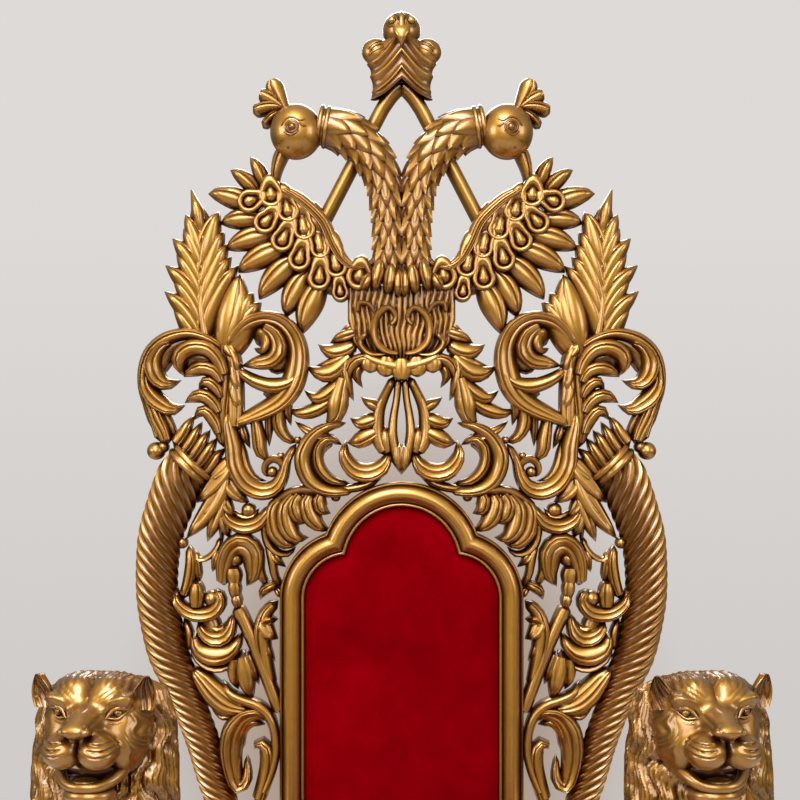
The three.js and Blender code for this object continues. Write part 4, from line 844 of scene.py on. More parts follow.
def finial(carving):
    """The finial over the struts.

    Its rings droop from the middle to the sides by 1 - sin, with ribs exp(-d^2) along them. Over them are two
    round lobes and a small bird's head with bulging eyes and a broad beak.
    """
    at = np.linspace(0, len(FINIAL_RINGS) - 1, 88)[:, None]
    half, low, high = (spread(column, at / at.max()) for column in zip(*FINIAL_RINGS))
    angle = np.linspace(0, 2 * np.pi, 48, endpoint=False)
    rib = sum(np.exp(-((at - c) / .42) ** 2) for c in (3, 5, 7, 9))
    wide = half + 1.2 * rib
    v = low + (high - low) * (1 - np.sin(np.pi / 2 * np.abs(np.cos(angle))))
    y = BACK_Y + (.004 + half * .0005 + .006 * rib) * np.sin(angle)
    grid = np.stack([wide * np.cos(angle) * SQUARE, y, PATTERN_FOOT + SQUARE * v], -1)
    # Painted shade: the ground between the ribs is darkened; the head and lobes are darkened a little all
    # over, and the incised lines and arcs fully.
    carving.shell(grid, np.clip(.9 - 1.5 * rib + 0 * angle, 0, 1))
    centre = np.array([0, BACK_Y, PATTERN_FOOT + SQUARE * 769]) / MM
    blob(carving, centre, FINIAL_HEAD, 22, 32, .2)
    face = on_ball(RIGHT, centre, FINIAL_HEAD)
    bridge = np.array([786.5, 781, 775, 769])
    ridge = face(0 * bridge, bridge, .0005)
    sweep(carving, ridge, (1, 0, 0), (.002, .005, .004, .0055), (.002, .004, .004, .003), 0, 12)
    beak = [(0, y, PATTERN_FOOT + SQUARE * v) for y, v in FINIAL_BEAK]
    sweep(carving, beak, (1, 0, 0), (.0135, .0125, .007, .001), (.004, .006, .005, .002), 0, 16)
    for side in (LEFT, RIGHT):
        face = on_ball(side, centre, FINIAL_HEAD)
        blob(carving, face(9.5, 776.5, 0) / MM, (6.6, 6.6, 6.6), 12, 18)
        for points in FINIAL_LINES:
            line = face(*spline(points, 10)[0].T, .0006)
            sweep(carving, line, (0, 0, 1), (.0006, .0016, .0006), (.001, .001), 0, 8, 1.0, 10)
        middle = np.array([side * SQUARE * 25.5, BACK_Y - .004, PATTERN_FOOT + SQUARE * 747.5]) / MM
        blob(carving, middle, FINIAL_LOBE, 16, 24, .3)
        on_lobe = on_ball(side, middle, FINIAL_LOBE)
        for points, thick, deep in FINIAL_ARCS:
            line = on_lobe(*spline(points, 12)[0].T, .0004)
            sweep(carving, line, (0, 0, 1), (.0006, thick, .0006), (.0012, .0014), 0, 8, deep, 12)


def length_setting(name, description, default, top):
    """A length property, in metres."""
    return FloatProperty(name=name, description=description, default=default, min=0, max=top, unit="LENGTH")


def share_setting(name, description, default, top=1):
    """A share property."""
    return FloatProperty(name=name, description=description, default=default, min=0, max=top,
                         subtype="FACTOR")


def colour_setting(name, description, code):
    """A colour property with an sRGB hex code as its default."""
    return FloatVectorProperty(name=name, description=description, default=linear(code), subtype="COLOR",
                               size=3, min=0, max=1)


class ThroneSizes(bpy.types.PropertyGroup):
    """Sizes of the carving and of the pad"""
    edge: length_setting("Edge", "Height of a strap's edge above the back of the openwork", .008, .02)
    rise: length_setting("Rise", "Height of a narrow strap's ridge above the back of the openwork", .02, .04)
    crown: share_setting("Crown", "Further rise of a strap as a share of its half width", .5)
    flute: share_setting("Flute depth", "Depth of the valleys between reeds as a share of the rise", 1)
    fullness: share_setting("Fullness", "Width of a strap over its drawn width", 1.06, 2)
    leafiness: share_setting("Leafiness", "Width of a leaf lobe over its drawn width", 1, 2)
    groove: share_setting("Horn groove", "Depth of the horn's twist as a share of its radius", .16, .4)
    pad_crown: length_setting("Back pad crown", "How far the back pad stands out in its middle", .007, .03)


class ThroneColours(bpy.types.PropertyGroup):
    """Colours of the gilding, the velvet and the studio"""
    gold: colour_setting("Gold", "Gold leaf near the hollows", "#784d0c")
    # Painted highlight: this paler copy of the leaf is shown where nothing occludes the surface.
    highlight_gold: colour_setting("Burnished gold", "Burnished gold on the high places", "#b48432")
    # Painted shade: this brown is painted where shade falls, in hollows, grooves and under edges, and spreads
    # further with a random mottle.
    shade_and_mottle_brown: colour_setting("Glaze", "Brown glaze left in the hollows", "#4a1c00")
    velvet: colour_setting("Velvet", "Crimson pile of the pad and cushion", "#720007")
    floor: colour_setting("Floor", "Pale studio floor", "#bdb8b2")
    backdrop: colour_setting("Backdrop", "Pale wall tone behind the throne", "#dedad7")
    wall_shade: colour_setting("Wall shade", "Wall in the throne's own shade, behind the openwork", "#a58d79")


def add_node(tree, kind, **inputs):
    """Adds one shader node. Each input, by its name or n and its number, is a value or a socket."""
    made = tree.nodes.new(kind)
    settings = inputs.pop("settings", {})
    for name, value in settings.items():
        setattr(made, name, value)
    for name, value in inputs.items():
        numbered = name[0] == "n" and name[1:].isdigit()
        socket = made.inputs[int(name[1:]) if numbered else name.replace("_", " ")]
        if isinstance(value, bpy.types.NodeSocket):
            tree.links.new(value, socket)
        else:
            socket.default_value = value
    return made


def new_material(name):
    """An empty node material and its tree."""
    material = bpy.data.materials.new(name)
    material.use_nodes = True
    material.node_tree.nodes.clear()
    return material, material.node_tree


def gilded_wood(colours):
    """Gilded wood: leaf over gesso, painted in a paler gold as highlight where nothing occludes it, and
    painted with brown shade in the hollows and grooves, mottled at random.
    """
    found = bpy.data.materials.get("Gilded carved wood, painted_shade_and_highlight")
    if found:
        return found
    # Gives the eye warm satin metal with pale varnish highlights, painted shade as dark brown lines in every
    # groove and in the hollows, and a painted highlight of paler gold on open surfaces.
    material, tree = new_material("Gilded carved wood, painted_shade_and_highlight")
    place = add_node(tree, "ShaderNodeTexCoord").outputs["Object"]
    # Painted shade: the amount that the carving stores on each point.
    depth = add_node(tree, "ShaderNodeAttribute", settings={"attribute_name": "shade_and_tone"}).outputs["Fac"]
    # Painted shade: ambient occlusion darkens the colour toward the brown where nearby carving shuts out
    # light.
    near = add_node(tree, "ShaderNodeAmbientOcclusion", Distance=.02, settings={"samples": 4}).outputs["AO"]
    occlusion_shade = add_node(tree, "ShaderNodeMapRange", Value=near, From_Min=.25, From_Max=.75, To_Min=.85,
                    To_Max=0.0)
    line_shade = add_node(tree, "ShaderNodeMath", n0=depth, n1=.7, settings={"operation": "MULTIPLY"})
    hollow_shade = add_node(tree, "ShaderNodeMath", n0=occlusion_shade.outputs[0], n1=line_shade.outputs[0],
                      settings={"operation": "MAXIMUM"})
    mottle = add_node(tree, "ShaderNodeTexNoise", Vector=place, Scale=45.0, Detail=4.0,
                      Roughness=.6).outputs["Fac"]
    tone = add_node(tree, "ShaderNodeMapRange", Value=mottle, From_Min=.3, From_Max=.7, To_Min=-.1,
                    To_Max=.16)
    # The brown is mixed in by the painted shade, raised or lowered by the random mottle.
    shade_and_mottle = add_node(tree, "ShaderNodeMath", n0=hollow_shade.outputs[0], n1=tone.outputs[0],
                    settings={"operation": "ADD", "use_clamp": True})
    # Painted highlight: where ambient occlusion finds the surface open, the leaf is painted in the paler
    # gold.
    shade = add_node(tree, "ShaderNodeMapRange", Value=near, From_Min=.5, From_Max=.97, To_Min=1.0,
                     To_Max=0.0).outputs[0]
    leaf = add_node(tree, "ShaderNodeMix", n0=shade, n6=(*colours.highlight_gold, 1), n7=(*colours.gold, 1),
                    settings={"data_type": "RGBA"}).outputs[2]
    colour = add_node(tree, "ShaderNodeMix", n0=shade_and_mottle.outputs[0], n6=leaf, n7=(*colours.shade_and_mottle_brown, 1),
                      settings={"data_type": "RGBA"}).outputs[2]
    rough = add_node(tree, "ShaderNodeMapRange", Value=shade_and_mottle.outputs[0], To_Min=.43, To_Max=.6).outputs[0]
    grain = add_node(tree, "ShaderNodeTexNoise", Vector=place, Scale=420.0, Detail=3.0).outputs["Fac"]
    bump = add_node(tree, "ShaderNodeBump", Strength=.25, Distance=.0004, Height=grain).outputs["Normal"]
    shader = add_node(tree, "ShaderNodeBsdfPrincipled", Base_Color=colour, Metallic=1.0, Roughness=rough,
                      Normal=bump, Coat_Weight=.85, Coat_Roughness=.17, Coat_IOR=1.65)
    add_node(tree, "ShaderNodeOutputMaterial", Surface=shader.outputs[0])
    return material


def crimson_velvet(colours):
    """Cut velvet: deep crimson pile with a soft edge sheen and the faint mottling of brushed pile."""
    found = bpy.data.materials.get("Crimson cut velvet")
    if found:
        return found
    # Gives the eye a deep matt red that pales where the pile is seen on edge.
    material, tree = new_material("Crimson cut velvet")
    place = add_node(tree, "ShaderNodeTexCoord").outputs["Object"]
    brushed = add_node(tree, "ShaderNodeTexNoise", Vector=place, Scale=9.0, Detail=5.0,
                       Roughness=.65).outputs["Fac"]
    shade = add_node(tree, "ShaderNodeMapRange", Value=brushed, From_Min=.3, From_Max=.7, To_Min=.72,
                     To_Max=1.25).outputs[0]
    colour = add_node(tree, "ShaderNodeMix", n0=1.0, n6=(*colours.velvet, 1), n7=shade,
                      settings={"data_type": "RGBA", "blend_type": "MULTIPLY"}).outputs[2]
    pile = add_node(tree, "ShaderNodeTexNoise", Vector=place, Scale=900.0, Detail=2.0).outputs["Fac"]
    bump = add_node(tree, "ShaderNodeBump", Strength=.5, Distance=.0008, Height=pile).outputs["Normal"]
    shader = add_node(tree, "ShaderNodeBsdfPrincipled", Base_Color=colour, Roughness=.92, Normal=bump,
                      Specular_IOR_Level=0, Sheen_Weight=.06, Sheen_Roughness=.4, Sheen_Tint=(1, .01, .04, 1))
    add_node(tree, "ShaderNodeOutputMaterial", Surface=shader.outputs[0])
    return material


class THRONE_OT_openwork(bpy.types.Operator):
    """Carves the openwork back: scrolls, plumes, wings, peacocks, shield and finial"""
    bl_idname = "throne.openwork"
    bl_label = "Carve the openwork"

    def execute(self, context):
        sizes, carving = context.scene.throne_sizes, Carving()
        for side in (LEFT, RIGHT):
            for parts in (*SIDE_CARVING.values(), *CREST_CARVING.values()):
                ornament(carving, side, parts, sizes)
            plume(carving, side, sizes)
            wing(carving, side, sizes)
            strap(carving, on_board(side), (14, 15, 15, 15, 15), STRUT, 1, -4, sizes)
            peacock_neck(carving, side)
            peacock_head(carving, side, sizes)
            breast(carving, side, sizes)
        shield(carving, sizes)
        finial(carving)
        gild(context, carving, "openwork_carving", "openwork")
        return {"FINISHED"}


def horn(carving, side, sizes):
    """The horn under its collar: its radius is scooped by |sin| between ridges that turn about it."""
    rows, cols = 260, 9 * HORN_STARTS
    line, t = spline(HORN_LINE, rows)
    step = unit(np.gradient(line, axis=0))
    run = np.linspace(0, np.linalg.norm(np.diff(line, axis=0), axis=1).sum(), rows)
    rate = np.interp(t, HORN_RATE_PLACES, HORN_RATES)
    twist = np.concatenate([[0], np.cumsum((rate[1:] + rate[:-1]) / 2 * np.diff(run))])[:, None]
    angle = np.linspace(0, 2 * np.pi, cols, endpoint=False)[None]
    phase = np.linspace(0, HORN_STARTS, cols, endpoint=False)[None] % 1
    scoop = np.sin(np.pi * phase) ** .8 * (1.2 - .5 * phase)
    radius = spread(HORN_WIDTHS, t)[:, None] / 2 * (1.03 - sizes.groove * scoop)
    # Painted shade: the flanks scooped between the ridges are darkened.
    shade = .8 * np.clip(1.1 * scoop, 0, 1) ** 1.4
    carving.shell(around(side, line, step, radius, angle + twist), shade)
    back, size = (np.array(c, float) for c in zip(*COLLAR))
    way = unit(np.array(COLLAR_WAY))
    mouth = np.array(COLLAR_FOOT) - way * back[:, None]
    turn = np.linspace(0, 2 * np.pi, 64, endpoint=False)[None]
    carving.shell(around(side, mouth, np.broadcast_to(way, mouth.shape), size[:, None] + 0 * turn, turn))


def around(side, line, step, radius, angle):
    """Rings of the given radius, in squares, about a line of the pattern."""
    across = radius * np.cos(angle)
    u = line[:, :1] - step[:, 1:] * across
    v = line[:, 1:] + step[:, :1] * across
    y = HORN_Y - SQUARE * radius * np.sin(angle)
    return np.stack([side * SQUARE * u, y, PATTERN_FOOT + SQUARE * v], -1)


def rear_leg(carving, side):
    """The raked rear leg: rounded square rings from the seat block down to the foot."""
    # Across, depth, height and half width in millimetres
    stations = np.array([(252, 274, 518, 28), (252, 274, 514, 32), (252, 274, 352, 32), (252, 274, 342, 31),
                         (254, 276, 332, 25), (254, 276, 328, 25), (255, 277, 324, 28), (256, 278, 318, 28),
                         (257, 280, 312, 25), (268, 295.5, 180, 22), (284, 317, 90, 21), (298, 335, 34, 22),
                         (300, 337, 28, 24), (300, 337, 2, 24), (300, 337, 0, 22)])
    ring = rounded_ring(1, 1, 40, .28)
    x, y, z, half = (column[:, None] for column in stations.T)
    grid = np.stack([x + half * ring[:, 0], y + half * ring[:, 1], z + 0 * ring[:, 0]], -1)
    carving.shell(grid * MM * (side, 1, 1))


class THRONE_OT_posts(bpy.types.Operator):
    """Carves the twisted horn posts with their collars and rear legs"""
    bl_idname = "throne.posts"
    bl_label = "Carve the back posts"

    def execute(self, context):
        for side, word in SIDES:
            carving = Carving()
            horn(carving, side, context.scene.throne_sizes)
            rear_leg(carving, side)
            gild(context, carving, f"horn_post_{word}", f"back_post_{word}")
        return {"FINISHED"}


def trefoil(offset):
    """The frame's middle line moved outward: upright, shoulder arc, arch, and the same mirrored."""
    (su, sv, sr), (au, av, ar) = SHOULDER, ARCH
    sr, ar = sr + offset, ar + offset
    apart = math.hypot(au - su, av - sv)
    near = (sr ** 2 - ar ** 2 + apart ** 2) / (2 * apart)
    off = math.sqrt(sr ** 2 - near ** 2)
    du, dv = (au - su) / apart, (av - sv) / apart
    cusp = np.array([su + near * du + off * dv, sv + near * dv - off * du])
    up = np.stack([np.full(24, FRAME_SIDE + offset), np.linspace(PATTERN_BOTTOM + 12.5 - offset, sv, 24)], 1)
    turn = np.linspace(0, math.atan2(cusp[1] - sv, cusp[0] - su), 24)[1:]
    shoulder = np.stack([su + sr * np.cos(turn), sv + sr * np.sin(turn)], 1)
    turn = np.linspace(math.atan2(cusp[1] - av, cusp[0] - au), np.pi / 2, 32)[1:]
    arch = np.stack([au + ar * np.cos(turn), av + ar * np.sin(turn)], 1)
    half = np.concatenate([up, shoulder, arch])
    return np.concatenate([half, half[-2::-1] * (-1, 1)])


def upright(outline, y):
    """An outline of the pattern stood up at a depth in metres."""
    u, v = outline.T
    return np.stack([SQUARE * u, np.full(len(u), y), PATTERN_FOOT + SQUARE * v], -1)


class THRONE_OT_frame(bpy.types.Operator):
    """Runs the moulded trefoil frame round the pad and closes its back"""
    bl_idname = "throne.frame"
    bl_label = "Run the back frame"

    def execute(self, context):
        carving = Carving()
        offsets = [offset for offset, _ in MOULDING]
        # Painted shade: the moulding's two grooves are darkened.
        groove_shade = np.interp(offsets, [-9, -7.9, -6.8, 8.2, 8.9, 9.8], [0, .9, 0, 0, .9, 0])
        carving.hoop(np.stack([upright(trefoil(offset), y * MM) for offset, y in MOULDING]), groove_shade[:, None])
        carving.shell(np.stack([upright(trefoil(BOARD_EDGE), y) for y in BOARD_FACES]))
        gild(context, carving, "trefoil_frame", "back_frame")
        return {"FINISHED"}


class THRONE_OT_pad(bpy.types.Operator):
    """Upholsters the back pad: rings from its edge to its middle, crowned by 1 - (1 - t)^3"""
    bl_idname = "throne.pad"
    bl_label = "Upholster the back pad"

    def execute(self, context):
        crown = context.scene.throne_sizes.pad_crown
        edge = trefoil(PAD_EDGE)
        middle = np.stack([np.zeros(len(edge)), np.clip(edge[:, 1], *PAD_MIDDLE)], 1)
        run = np.linspace(0, 1, 40)
        inward = np.concatenate([[0, 0], run ** 1.6 * .985 + .004])
        depth = np.concatenate([[.2755, .266], .264 - (1 - (1 - run) ** 3) * crown])
        line = edge + (middle - edge) * inward[:, None, None]
        carving = Carving()
        carving.shell(np.stack([upright(ring, y) for ring, y in zip(line, depth)]))
        piece = carving.build("velvet_back_pad", crimson_velvet(context.scene.throne_colours))
        finish_piece(piece, "back_pad")
        return {"FINISHED"}


def masses(p, centre, radii):
    """Distance from an ellipsoid, near its surface."""
    q = (p - np.asarray(centre)) / radii
    k0 = np.linalg.norm(q, axis=-1)
    return k0 * (k0 - 1) / np.maximum(np.linalg.norm(q / radii, axis=-1), 1e-6)


def soft_union(a, b, k):
    """The lesser of two distances, rounded off by a parabola where they differ by under k."""
    h = np.maximum(k - np.abs(a - b), 0) / k
    return np.minimum(a, b) - h * h * k / 4


def lion_distance(p):
    """Distance of the lion's head: soft unions of rounded masses."""
    p = p.copy()
    p[..., 0] = np.abs(p[..., 0])
    first, *others = LION_MASSES
    d = masses(p, *first[:2])
    for centre, radii, soft in others:
        d = soft_union(d, masses(p, centre, radii), soft)
    return d


def lion_jaw(carving, origin):
    """The open mouth: a dark hollow under the muzzle, the tongue, the lower lip and the chin."""
    # Painted shade: the hollow of the open mouth is darkened fully, the tongue mostly and the lip a little.
    blob(carving, origin + (0, -6, -34), (38, 26, 17), 12, 20, 1.0)
    blob(carving, origin + (0, -38, -44), (17, 16, 4), 10, 16, .7)
    half = [(40, 4, -27), (35, -22, -39), (21, -42, -48)]
    lip = [*(np.array(half) * (-1, 1, 1)), (0, -50, -50), *half[::-1]]
    thick = (8, 8, 6.5, 6, 6.5, 8, 8)
    sweep_mm(carving, origin + lip, (0, 0, 1), thick, thick, 0, 14, .2)
    blob(carving, origin + (0, -24, -62), (32, 29, 15), 14, 24)


def lion_front(x, z):
    """The face's place in depth in front of points across and up, found from the outside."""
    p = np.stack([np.asarray(x, float), np.full(np.shape(x), -150.), np.asarray(z, float)], -1)
    for _ in range(80):
        p[..., 1] += np.maximum(lion_distance(p), 0) * .8
    return p[..., 1]


def lion_relief(p):
    """Rise of the carving over points of the head, in millimetres: bells exp(-d^2) within soft steps."""
    x, y, z = np.abs(p[..., 0]), p[..., 1], p[..., 2]
    bell = lambda value, wide: np.exp(-(value / wide) ** 2)
    above = lambda value, soft: 1 / (1 + np.exp(-value / soft))
    front = above(-16 - y, 4)
    # Eye hollows, nostrils and the cleft under the nose
    rise = -4.5 * bell(np.hypot((x - 36) / 13, (z - 35) / 8), 1) * front
    rise -= 6 * bell(np.hypot((x - 12) / 6, (z - 14) / 3.4), 1) * (y < -60)
    rise -= 1.8 * bell(x, 2) * bell(z + 4, 16) * (y < -60)
    # Whisker grooves
    pad = above(x - 18, 2) * above(43 - x, 2) * (y < -38)
    for k in range(3):
        level = 5 - 7 * k + .016 * (x - 27) ** 2
        rise -= 2 * bell(z - level, 1.3) * pad
        rise += 1.1 * bell(z - level - 2.8, 1.5) * pad
    # Brows with lines over them
    brow = z - 33 - .95 * (x - 15) + .009 * (x - 15) ** 2
    rise += 3.4 * bell(brow, 4) * above(x - 17, 2) * above(52 - x, 3) * front
    for k in range(3):
        within = above(x - 24 + 4 * k, 2) * above(50 - 4 * k - x, 2)
        rise -= 1.7 * bell(brow - 9 - 6.5 * k, 1.3) * within * front
    # Furrow of the forehead and creases beside the nose
    rise -= 2.6 * bell(x, 5) * bell(z - 60, 18) * (y < 6)
    rise -= 2 * bell(x - 15 - .5 * (z - 26), 2) * bell(z - 28, 12) * front
    # Curled hair over the forehead and cheeks
    hair = np.abs(np.sin(.5 * x + .22 * z + 2.2 * np.sin(z / 5.5 + x / 9))) ** 1.5
    grown = above(z - 70 + .1 * x, 4) + above(x + .9 * z - 98, 4) * (z > 40) + (z < 40) * above(x - 52, 3)
    rise -= 2.2 * hair * np.clip(grown, 0, 1)
    return rise


def lion_head(carving, side):
    """The lion's head.

    Along each ray from its middle the surface is found from the outside. The relief is then pressed in or
    raised along the ray. Eyes, lids and ears are set on it.
    """
    rows, cols = 150, 190
    polar = (np.pi * (.004 + .992 * np.linspace(0, 1, rows) ** 1.25))[:, None]
    turn = 2 * np.pi * (np.arange(cols) + .5)[None] / cols
    across, up = np.sin(polar) * np.cos(turn), np.sin(polar) * np.sin(turn)
    way = np.stack([across, -np.cos(polar) + 0 * turn, up], -1)
    centre = np.array([0., -6, -2])
    reach = np.full((rows, cols), 125.)
    for _ in range(70):
        reach -= np.maximum(lion_distance(centre + way * reach[..., None]), 0) * .75
    rise = lion_relief(centre + way * reach[..., None])
    origin = np.array([side * LION_X, *LION_FACE], float)
    # Painted shade where the relief presses in, over a darker tone of .28 across the whole head.
    carving.shell((centre + way * (reach + rise)[..., None] + origin) * MM, np.clip(-rise / 3.2, .28, 1))
    across, up = LION_EYE
    for hand in (-1, 1):
        eye = np.array([hand * across, lion_front(across, up), up])
        blob(carving, origin + eye + (0, 4.4, 0), (6, 6, 5.6), 12, 18)
        # The pupil is darkened.
        blob(carving, origin + eye + (0, -1.6, .4), (2.8, 1.6, 2.8), 8, 12, .8)
        for line, wide in LION_LIDS:
            x, z = np.array(line, float).T
            deep = lion_front(x, z) + (1.8 if wide > 2 else 1)
            path = origin + np.stack([hand * x, deep, z], -1)
            taper = np.array([.3, 1, 1, .9, .3]) * wide
            sweep_mm(carving, path, (0, -1, 0), taper, taper * .9, 0, 10, 0, 18)
        ear(carving, origin, hand)


def lion_mane(carving, side):
    """Hair about the head: one skin over the neck and chest.

    Its wavy strands are |sin| ridges about the upright axis, gathered in broader locks.
    """
    origin = np.array([side * LION_X, *LION_FACE], float)
    # Half width, depth of the axis, height and half depth in millimetres about the head's origin
    stations = np.array([(46, 60, 62, 30), (72, 56, 50, 50), (84, 52, 14, 58), (88, 48, -50, 62),
                         (89, 44, -110, 66), (88, 40, -170, 70), (82, 40, -235, 66), (66, 46, -300, 50),
                         (44, 56, -352, 28)])
    fine = np.linspace(0, 1, 150)
    half, front, z, deep = (spread(stations[:, k], fine)[:, None] for k in range(4))
    turn = np.linspace(0, 2 * np.pi, 280, endpoint=False)[None]
    sway = .09 * np.sin(z / 15 + 2 * np.sin(3 * turn)) + .05 * np.sin(z / 7.5 + 5 * turn)
    lock = np.abs(np.sin(8 * (turn + 1.6 * sway) + .5 * np.sin(z / 60)))
    strand = np.abs(np.sin(38 * (turn + sway) + z / 50))
    out = 7 * lock ** .7 + 3.6 * strand ** .8 - 7.5
    ground = np.stack([(half + out) * np.cos(turn), front + (deep + out) * np.sin(turn), z + 0 * turn], -1)
    # Painted shade between the strands and between the locks, over a darker tone of .3 across the whole mane.
    shade = np.clip(1.05 - strand ** .5, .3, 1) + .5 * (1 - lock) ** 3
    carving.shell((ground + origin) * MM, shade)


def ear(carving, origin, hand):
    """A cupped ear: a pointed shell whose front is hollowed between its rims and lined with hair grooves."""
    rows, cols = 24, 41
    up = np.linspace(0, 1, rows)[:, None]
    across = np.linspace(-1, 1, cols)[None]
    half = 16 * np.sin(np.pi * (.34 + .62 * up)) ** .8
    hair = 2.2 * np.abs(np.sin(7.5 * across + 6 * up)) * (np.abs(across) < .8)
    rim = 3 * np.exp(-((np.abs(across) - .9) / .12) ** 2)
    cup = -9 * (1 - across ** 2) * np.sin(np.pi * np.clip(up + .12, 0, 1)) + hair + rim
    local = np.stack([half * across, 0 * half * across, 40 * up + 0 * across], -1)
    front = local + np.stack([0 * cup, -cup - 9, 0 * cup], -1)
    swell = 12 * (1 - across ** 2) * (1 - .6 * up) - 4
    rear = (local + np.stack([0 * cup, swell, 0 * cup], -1))[:, ::-1]
    grid = np.concatenate([front, rear[:, 1:-1]], axis=1)
    c, s = math.cos(hand * .35), math.sin(hand * .35)
    x = grid[..., 0] * c - grid[..., 1] * s
    y = grid[..., 0] * s + grid[..., 1] * c
    z = grid[..., 2]
    placed = np.stack([x + hand * (56 + .2 * z), y - 4, z + 36], -1) + origin
    # Painted shade in the hollow of the ear's cup.
    deep = np.concatenate([.8 * (1 - across ** 2) + 0 * up, np.zeros((rows, cols - 2))], axis=1)
    carving.shell(placed * MM, deep)


def lion_block(carving, side):
    """The block behind the mane: rounded square rings from the stile up to a nape that slopes to the rear."""
    b = BLOCK
    ring = rounded_ring(1, 1, 56, .16)
    levels = [(b["stile"], 10, RAIL_FOOT), (b["stile"], 10, 470), (b["stile"] + 3, 9, 480),
              (b["half"] - 2, 1, 536), (b["half"], 0, 546), (b["half"], 0, 700), (b["half"], 0, None),
              (b["half"] - 6, 6, None)]
    rings = []
    for k, (half, inset, z) in enumerate(levels):
        front, rear = b["front"] + inset, b["rear"]
        y = (front + rear) / 2 + (rear - front) / 2 * ring[:, 1]
        back = (y - b["front"]) / (b["rear"] - b["front"])
        nape = b["nape_front"] + (b["nape_rear"] - b["nape_front"]) * back
        height = np.full(56, float(z)) if z else nape - (8 if k == len(levels) - 2 else 0)
        rings.append(np.stack([side * LION_X + half * ring[:, 0], y, height], -1))
    carving.shell(np.stack(rings) * MM)


def lion_leg(carving, side):
    """The front leg: a lofted shin over a paw with four toes and their claws, and acanthus on the knee."""
    y0 = (BLOCK["front"] + BLOCK["rear"]) / 2
    # Half width, half depth, depth of the axis and height in millimetres
    stations = np.array([(70, 64, y0, 372), (66, 62, y0, 340), (52, 52, y0, 290), (44, 46, y0 + 1, 230),
                         (42, 44, y0 + 2, 190), (40, 42, y0 + 2, 120), (42, 44, y0, 92),
                         (52, 58, y0 - 6, 56), (58, 66, y0 - 8, 24), (58, 66, y0 - 8, 3),
                         (54, 62, y0 - 8, 0)])
    fine = np.linspace(0, 1, 50)
    half, deep, y, z = (spread(stations[:, k], fine)[:, None] for k in range(4))
    ring = rounded_ring(1, 1, 48, .62)
    x0 = side * LION_X
    carving.shell(np.stack([x0 + half * ring[:, 0], y + deep * ring[:, 1], z + 0 * ring[:, 0]], -1) * MM)
    for i in range(4):
        across = -39 + 26 * i
        fore = y0 - (84 if i % 3 else 74)
        toe = [(x0 + across * .7, y0 - 30, 62), (x0 + across * .95, fore + 18, 46),
               (x0 + across * 1.02, fore - 2, 24), (x0 + across * 1.03, fore - 8, 9)]
        sweep_mm(carving, toe, (1, 0, 0), (10, 14, 14, 9), (10, 15, 14, 8), 0, 16, 0, 16)
        claw = [(x0 + across * 1.02, fore - 10, 24), (x0 + across * 1.04, fore - 20, 14),
                (x0 + across * 1.04, fore - 22, 3)]
        sweep_mm(carving, claw, (1, 0, 0), (5, 4, .6), (5, 4, .6))
    for k in range(-2, 3):
        across, ahead = math.sin(.55 * k), -math.cos(.55 * k)
        out, z = np.array([(56, 366), (62, 330), (54, 280), (50, 236)]).T
        leaf = np.stack([x0 + across * (out + 8), y0 + ahead * (out + 4), z + 8 * abs(k)], -1)
        sweep_mm(carving, leaf, (ahead, -across, 0), (14, 19, 13, 1), (8, 9, 7, 1), 4, 16)


class THRONE_OT_lions(bpy.types.Operator):
    """Carves the lion posts: head, jaw, ears, mane, block, leg and paw"""
    bl_idname = "throne.lions"
    bl_label = "Carve the lions"

    def execute(self, context):
        for side, word in SIDES:
            carving = Carving()
            lion_head(carving, side)
            lion_jaw(carving, np.array([side * LION_X, *LION_FACE], float))
            carving.turn((side * LION_X * MM, LION_NECK * MM), side * math.radians(LION_LOOK))
            lion_mane(carving, side)
            lion_block(carving, side)
            lion_leg(carving, side)
            gild(context, carving, f"lion_figure_{word}", f"lion_post_{word}")
        return {"FINISHED"}


class THRONE_OT_arms(bpy.types.Operator):
    """Shapes the arms between the lions and the horn posts"""
    bl_idname = "throne.arms"
    bl_label = "Shape the arms"

    def execute(self, context):
        # Across, half width, depth, top and thickness in millimetres
        stations = [(362, 56, -106, 646, 96), (361, 55, -90, 640, 92), (352, 50, -16, 612, 72),
                    (318, 44, 113, 598, 62), (290, 37, 205, 601, 64), (276, 34, 246.5, 604, 66)]
        for side, word in SIDES:
            x, half, y, top, deep = (c[:, None] for c in spline(stations, 60)[0].T)
            ring = rounded_ring(1, 1, 72, .6)
            angle = np.linspace(0, 2 * np.pi, 72, endpoint=False) + np.pi / 72
            reed = np.abs(np.sin(5.5 * angle)) ** .6
            sides = np.clip(1.3 - np.abs(np.sin(angle)) * 1.6, 0, 1)
            dent = 1 - .07 * (1 - reed) * sides
            across, up = ring.T
            z = top - deep / 2 + deep / 2 * up
            grid = np.stack([side * (x + half * across * dent), y + 0 * across, z], -1)
            carving = Carving()
            # Painted shade in the grooves between the reeds.
            carving.shell(grid * MM, (1 - reed) ** 2 * sides)
            gild(context, carving, f"shaped_arm_{word}", f"arm_{word}")
        return {"FINISHED"}


def cross_plan(half, outer, inner):
    """Plan of a rail across the seat: outer start, outer end, inner end, inner start."""
    return [(-half, outer), (half, outer), (half, inner), (-half, inner)]


